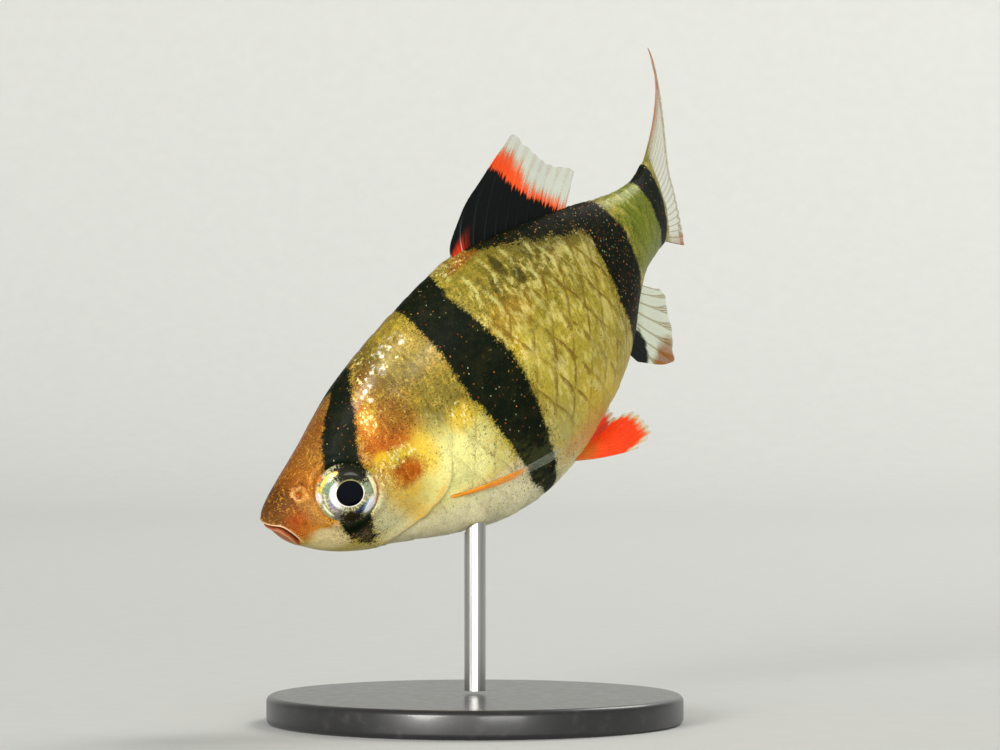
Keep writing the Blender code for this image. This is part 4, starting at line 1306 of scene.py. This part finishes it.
def to_side(margin, side):
    """A margin of the right side, mirrored where side asks for the left."""
    return tuple((k[0], (k[1][0], side * k[1][1], k[1][2])) for k in margin)


print("tail fin spreads over", round(TAIL_MARGIN[0][1][2] - TAIL_MARGIN[-1][1][2], 3), "of the length")

# %% [markdown]
# ## Fin paint
#
# The rays carry most of the colour; the web between them is tinted near the body and clear at the
# margin. Alpha lets the light through, and the black, red and clear zones follow lines measured on
# the straight fish.

# %% What all fin materials share


RAY_SEGMENTS = 150.0


def fin_material(name):
    """A thin-skin material that glows faintly, as painted light through the fin: its look and shader, and
    the places and ray signals that paint it.
    """
    look, tree, shader = new_material(name, {
        "Coat Weight": 0.02, "Coat Roughness": 0.3, "Specular IOR Level": 0.10, "Emission Strength": 0.12,
    })
    print("material", name)
    return look, shader, attribute(tree, "fish"), attribute(tree, "fin")


def finish_fin_paint(shader, place, spread, tint, alpha):
    """Break rays into short segments, vary the tint, let it glow faintly as painted light through the fin,
    and link everything.
    """
    _, along, ridge = parts(spread)
    mottled = noise(place, 60.0, 3.0)
    fine = noise(place, 300.0, 2.0)
    gaps = 1 - (along * RAY_SEGMENTS).math("SINE").above(-1.0, -0.4)
    tint = shade(tint, (0.65 + 0.4 * mottled + 0.3 * fine) * (1 - 0.22 * ridge * gaps))
    attach(shader, Base_Color=tint, Alpha=alpha, Emission_Color=tint, Roughness=0.42 + 0.2 * mottled)


def ray_noise(spread, scale):
    """A value round 0 that differs from ray to ray but hardly along one."""
    return noise(stretch(spread, scale, 1.2, 0.0), 1.0, 3.0) - 0.5


def frays(place, spread, cloud_scale, ray_scale):
    """Two values round 0 that fray the border of a colour: one in clouds, one from ray to ray."""
    return noise(place, cloud_scale, 3.0) - 0.5, ray_noise(spread, ray_scale)


print("fin paint helpers ready")

# %% Black dorsal fin with a red band
BLACK_TO_RED = (
    (0.15, 0.720), (0.186, 0.705), (0.212, 0.685), (0.233, 0.668), (0.259, 0.650), (0.285, 0.638),
    (0.308, 0.627), (0.323, 0.616), (0.35, 0.590),
)
dorsal_look, shader, place, spread = fin_material("dorsal_fin")
s, z, _ = parts(place)
f, t, ridge = parts(spread)
clouds, by_ray = frays(place, spread, 45.0, 60.0)
torn = clouds * 0.010 + by_ray * 0.040 - ridge * 0.004
beyond = s - curve(z, BLACK_TO_RED)
red = (beyond + torn).above(-0.004, 0.004)
faded = (beyond + torn * 1.5 - 0.030 * z.above(0.23, 0.33)).above(-0.004, 0.036)
streaks = ray_noise(spread, 55.0)
thin = ridge * ridge * ridge
pale_rays = ridge * ridge * streaks.above(-0.10, 0.15).most(0.25)
pale_rays = pale_rays * f.above(0.42, 0.05) * t.above(0.85, 0.40)
black = blend((7, 12, 11), (92, 104, 98), pale_rays * 0.6)
# Near the root of the first rays the black turns red, with a painted pinkish-white highlight on the ray
# crests.
glow = f.above(0.17, 0.05) * t.above(0.42, 0.12) * streaks.above(-0.25, 0.05)
black = blend(black, blend((210, 54, 24), (220, 206, 190), thin), glow * 0.9)
base = blend(black, blend((236, 78, 22), (206, 126, 48), faded), red)
base = blend(base, blend((150, 166, 120), (170, 92, 40), thin), faded * faded)
alpha = 1 - red * (0.10 + 0.72 * faded * (1 - 0.30 * thin))
finish_fin_paint(shader, place, spread, base, alpha)

# %% Clear anal and tail fins
anal_look, shader, place, spread = fin_material("anal_fin")
_, t, ridge = parts(spread)
clouds, by_ray = frays(place, spread, 45.0, 24.0)
torn = clouds * 0.5 + by_ray * 0.5
dark = (ellipse(place, (0.765, -0.160), (0.046, 0.050)) + torn).above(1.2, 0.8)
olive = (ellipse(place, (0.850, -0.238), (0.055, 0.035)) + torn).above(1.4, 0.6)
base = blend((160, 176, 96), (140, 112, 48), ridge)
base = lay(base, ((150, 92, 28), olive), ((16, 22, 18), dark))
alpha = (0.20 + 0.42 * ridge + 0.45 * olive + 0.25 * t.above(0.35, 0.0)).most(dark).least(1.0)
finish_fin_paint(shader, place, spread, base, alpha)

tail_look, shader, place, spread = fin_material("caudal_fin")
f, t, ridge = parts(spread)
lobes, at_root = abs(f - 0.5).above(0.36, 0.49), t.above(0.22, 0.0)
base = blend((172, 176, 120), (140, 110, 54), ridge)
base = lay(base, ((168, 84, 36), lobes * t.above(0.05, 0.5) * 0.8), ((120, 122, 40), at_root))
alpha = (0.16 + 0.42 * ridge + 0.24 * lobes + 0.60 * at_root).least(1.0)
finish_fin_paint(shader, place, spread, base, alpha)

# %% Red pelvic fins
pelvic_look, shader, place, spread = fin_material("pelvic_fin")
f, t, ridge = parts(spread)
clouds, by_ray = frays(place, spread, 50.0, 26.0)
torn = clouds * 0.25 + by_ray * 0.25
margin = (t + torn * 0.6 + 0.10 * f.above(0.30, 0.0)).above(0.84, 1.0)
base = blend((190, 96, 14), (238, 62, 10), (t + torn).above(0.05, 0.45))
base = lay(base, ((255, 140, 40), ridge * t.above(0.7, 0.1) * 0.5), ((200, 180, 110), margin))
alpha = 1 - margin * (0.72 - 0.3 * ridge) - 0.12 * (1 - ridge)
finish_fin_paint(shader, place, spread, base, alpha)

# %% Pectoral fins: an orange leading edge on a clear blade
pectoral_look, shader, place, spread = fin_material("pectoral_fin")
f, t, ridge = parts(spread)
lead = (t + ray_noise(spread, 40.0) * 0.16).above(0.74, 0.58)
hairs = ray_noise(spread, 70.0).above(0.02, 0.12)
base = blend((150, 156, 140), (248, 166, 52), lead)
base = blend(base, (176, 92, 22), (1 - ridge) * lead * 0.85)
cover = lead * (0.40 + 0.50 * ridge) * (1 - 0.65 * f.above(0.55, 0.80))
finish_fin_paint(shader, place, spread, base, (0.06 + 0.34 * hairs + cover).least(1.0))

# %% Make every fin
dorsal = {
    "rays": 12, "notch": 0.012, "split": 0.45, "margin": DORSAL_MARGIN, "facing": (0, 1, 0),
    "bow": lambda f: -0.23 + 0.17 * f, "root": back_root(0.478, 0.722, BACK, -ROOT_SINK), "wave": 0.002,
}
anal = {
    "rays": 8, "notch": 0.018, "split": 0.40, "margin": ANAL_MARGIN, "facing": (0, 1, 0),
    "bow": lambda f: 0.08 - 0.02 * f, "root": back_root(0.748, 0.842, BELLY, ROOT_SINK), "wave": 0.002,
}
caudal = {
    "rays": 19, "notch": 0.030, "split": 0.35, "margin": TAIL_MARGIN, "facing": (0, 1, 0), "sway": -0.010,
    "bow": lambda f: 0.06 * (2 * f - 1), "root": line_root((0.990, 0.0, 0.078), (0.990, 0.0, -0.070)),
}
make_fin("dorsal_fin", dorsal, dorsal_look, "black_and_red_fin")
make_fin("anal_fin", anal, anal_look, "clear_fin")
make_fin("caudal_fin", caudal, tail_look, "clear_fin")
for side, name, margin in ((-1, "left", PECTORAL_FOLDED), (1, "right", PECTORAL_OPEN)):
    pectoral = {
        "rays": 12, "notch": 0.02, "split": 0.55, "margin": to_side(margin, side),
        "facing": (0, side, 0), "bow": lambda f: 0.06 * side + 0 * f, "stout": 0.8,
        "root": flank_root((0.287, -0.0975), (0.288, -0.1010), side, 0.0025),
    }
    make_fin("pectoral_fin_" + name, pectoral, pectoral_look, "clear_fin")
    pelvic = {
        "rays": 9, "notch": 0.03, "split": 0.40, "margin": to_side(PELVIC_MARGIN, side),
        "facing": (0, side, 0), "bow": lambda f: 0.05 * side + 0 * f,
        "root": flank_root((0.512, -0.196), (0.546, -0.207), side, -0.003),
    }
    make_fin("pelvic_fin_" + name, pelvic, pelvic_look, "red_fin")

# %% [markdown]
# ## The display stand
#
# The rod's solid is already right and only gets a finish of drawn steel. The base is turned anew
# from its outline, so that its rim is round and smooth, in satin black lacquer with faint turning
# marks.

# %% Stand finishes
TURNING_MARKS = 0.00002
base_look, tree, shader = new_material("stand_lacquer", {"Coat Weight": 0.3, "Coat Roughness": 0.15})
where = own_place(tree)
rings = length(stretch(where, 1.0, 1.0, 0.0))
turning = noise(node(tree, "CombineXYZ", None, {0: rings}), 9000.0, 3.0)
dust = noise(where, 900.0, 4.0, 0.6)
tint = blend((26, 26, 27), (52, 50, 48), dust.above(0.5, 0.85))
attach(shader, Base_Color=tint, Roughness=0.30 + 0.18 * dust, Normal=emboss(turning, TURNING_MARKS, 0.4))
rod_look, tree, shader = new_material("stand_steel", {"Metallic": 1.0})
drawn = noise(stretch(own_place(tree), 6000.0, 6000.0, 60.0), 1.0, 3.0)
steel = blend((150, 150, 150), (205, 204, 200), drawn)
attach(shader, Base_Color=steel, Roughness=0.18 + 0.25 * drawn)
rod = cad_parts["stand_rod"]
rod.data.materials.clear()
rod.data.materials.append(rod_look)

# %% Base
BASE_RADIUS, BASE_THICKNESS, BASE_EDGE, BASE_STEPS = 0.0175, 0.0024, 0.0005, 144
turns = [math.radians(angle) for angle in range(0, 91, 15)]
lower = [(BASE_RADIUS - BASE_EDGE * (1 - math.sin(a)), BASE_EDGE * (1 - math.cos(a))) for a in turns]
upper = [(r, BASE_THICKNESS - h) for r, h in reversed(lower)]
flat = BASE_RADIUS - 1.2 * BASE_EDGE
outline = [(0.0, 0.0), (flat, 0.0), *lower, *upper, (flat, BASE_THICKNESS), (0.0, BASE_THICKNESS)]
turned = bmesh.new()
rim = [turned.verts.new((radius, 0.0, height)) for radius, height in outline]
rim += [turned.edges.new(pair) for pair in zip(rim, rim[1:])]
bmesh.ops.spin(turned, geom=rim, axis=(0, 0, 1), cent=(0, 0, 0), angle=math.tau, steps=BASE_STEPS)
bmesh.ops.remove_doubles(turned, verts=turned.verts, dist=1e-6)
finish_piece("display_base", turned, base_look, "stand_base", ["stand_base"])

# %% [markdown]
# ## Studio
#
# A pale sweep of paper under and behind the fish, one large soft light from the upper left as in
# the photo, a weaker one from the right and a small one behind that makes the fins glow.

# %% Backdrop
SWEEP_WIDTH, SWEEP_FRONT, SWEEP_DEPTH, SWEEP_RISE, SWEEP_BEND = 1.6, 0.7, 0.55, 0.9, 0.25
paper = bmesh.new()
bmesh.ops.create_grid(paper, x_segments=4, y_segments=60, size=0.5)
for v in paper.verts:
    run = (v.co.y + 0.5) * (SWEEP_DEPTH + SWEEP_FRONT + SWEEP_RISE + SWEEP_BEND) - SWEEP_FRONT
    turn = min(max((run - SWEEP_DEPTH) / SWEEP_BEND, 0.0), math.pi / 2)
    rise = max(run - SWEEP_DEPTH - SWEEP_BEND * math.pi / 2, 0.0)
    depth = min(run, SWEEP_DEPTH) + SWEEP_BEND * math.sin(turn)
    v.co = (v.co.x * SWEEP_WIDTH, depth, SWEEP_BEND * (1 - math.cos(turn)) + rise)
sweep = bpy.data.meshes.new("backdrop")
paper.to_mesh(sweep)
paper.free()
sweep.shade_smooth()
paper_look, tree, shader = new_material("backdrop_paper", {"Roughness": 0.9})
fibre = noise(own_place(tree), 300.0, 4.0)
attach(shader, Base_Color=blend((212, 213, 210), (219, 220, 217), fibre))
sweep.materials.append(paper_look)
floor = bpy.data.objects.new("backdrop", sweep)
SCENE.collection.objects.link(floor)

# %% Lights
CENTRE = Vector((0.0, 0.0, 0.029))


def soft_light(name, place, size, watts, colour):
    """A round lamp that faces the fish."""
    lamp = bpy.data.lights.new(name, "AREA")
    lamp.shape = "DISK"
    lamp.size, lamp.energy, lamp.color = size, watts, colour
    made = bpy.data.objects.new(name, lamp)
    made.location = place
    made.rotation_euler = (CENTRE - Vector(place)).to_track_quat("-Z", "Y").to_euler()
    SCENE.collection.objects.link(made)


soft_light("key", (-0.55, -1.10, 0.22), 0.45, 16.0, (1.0, 0.98, 0.94))
soft_light("fill", (0.30, -1.10, 0.03), 0.50, 8.5, (1.0, 0.99, 0.95))
soft_light("rim", (0.45, 0.45, 0.65), 0.40, 3.0, (1.0, 0.99, 0.95))
world = bpy.data.worlds.new("studio")
world.use_nodes = True
background = world.node_tree.nodes["Background"].inputs
background["Color"].default_value = (0.84, 0.85, 0.83, 1.0)
background["Strength"].default_value = 0.45
SCENE.world = world
SCENE.view_settings.view_transform = "Standard"
SCENE.view_settings.look = "None"
print("three lights and a pale world")

# %% Camera
CAMERA_PLACE, SENSOR_WIDTH, FOCAL_SHARE = (0.0021, -0.3514, 0.0292), 36.0, 4.185
lens = bpy.data.cameras.new("camera")
lens.sensor_width = SENSOR_WIDTH
lens.lens = SENSOR_WIDTH * FOCAL_SHARE
lens.clip_start, lens.clip_end = 0.01, 10.0
eye_point = bpy.data.objects.new("camera", lens)
eye_point.location = CAMERA_PLACE
eye_point.rotation_euler = (math.pi / 2, 0.0, 0.0)
SCENE.collection.objects.link(eye_point)
SCENE.camera = eye_point
print("camera", tuple(round(c, 4) for c in eye_point.location))
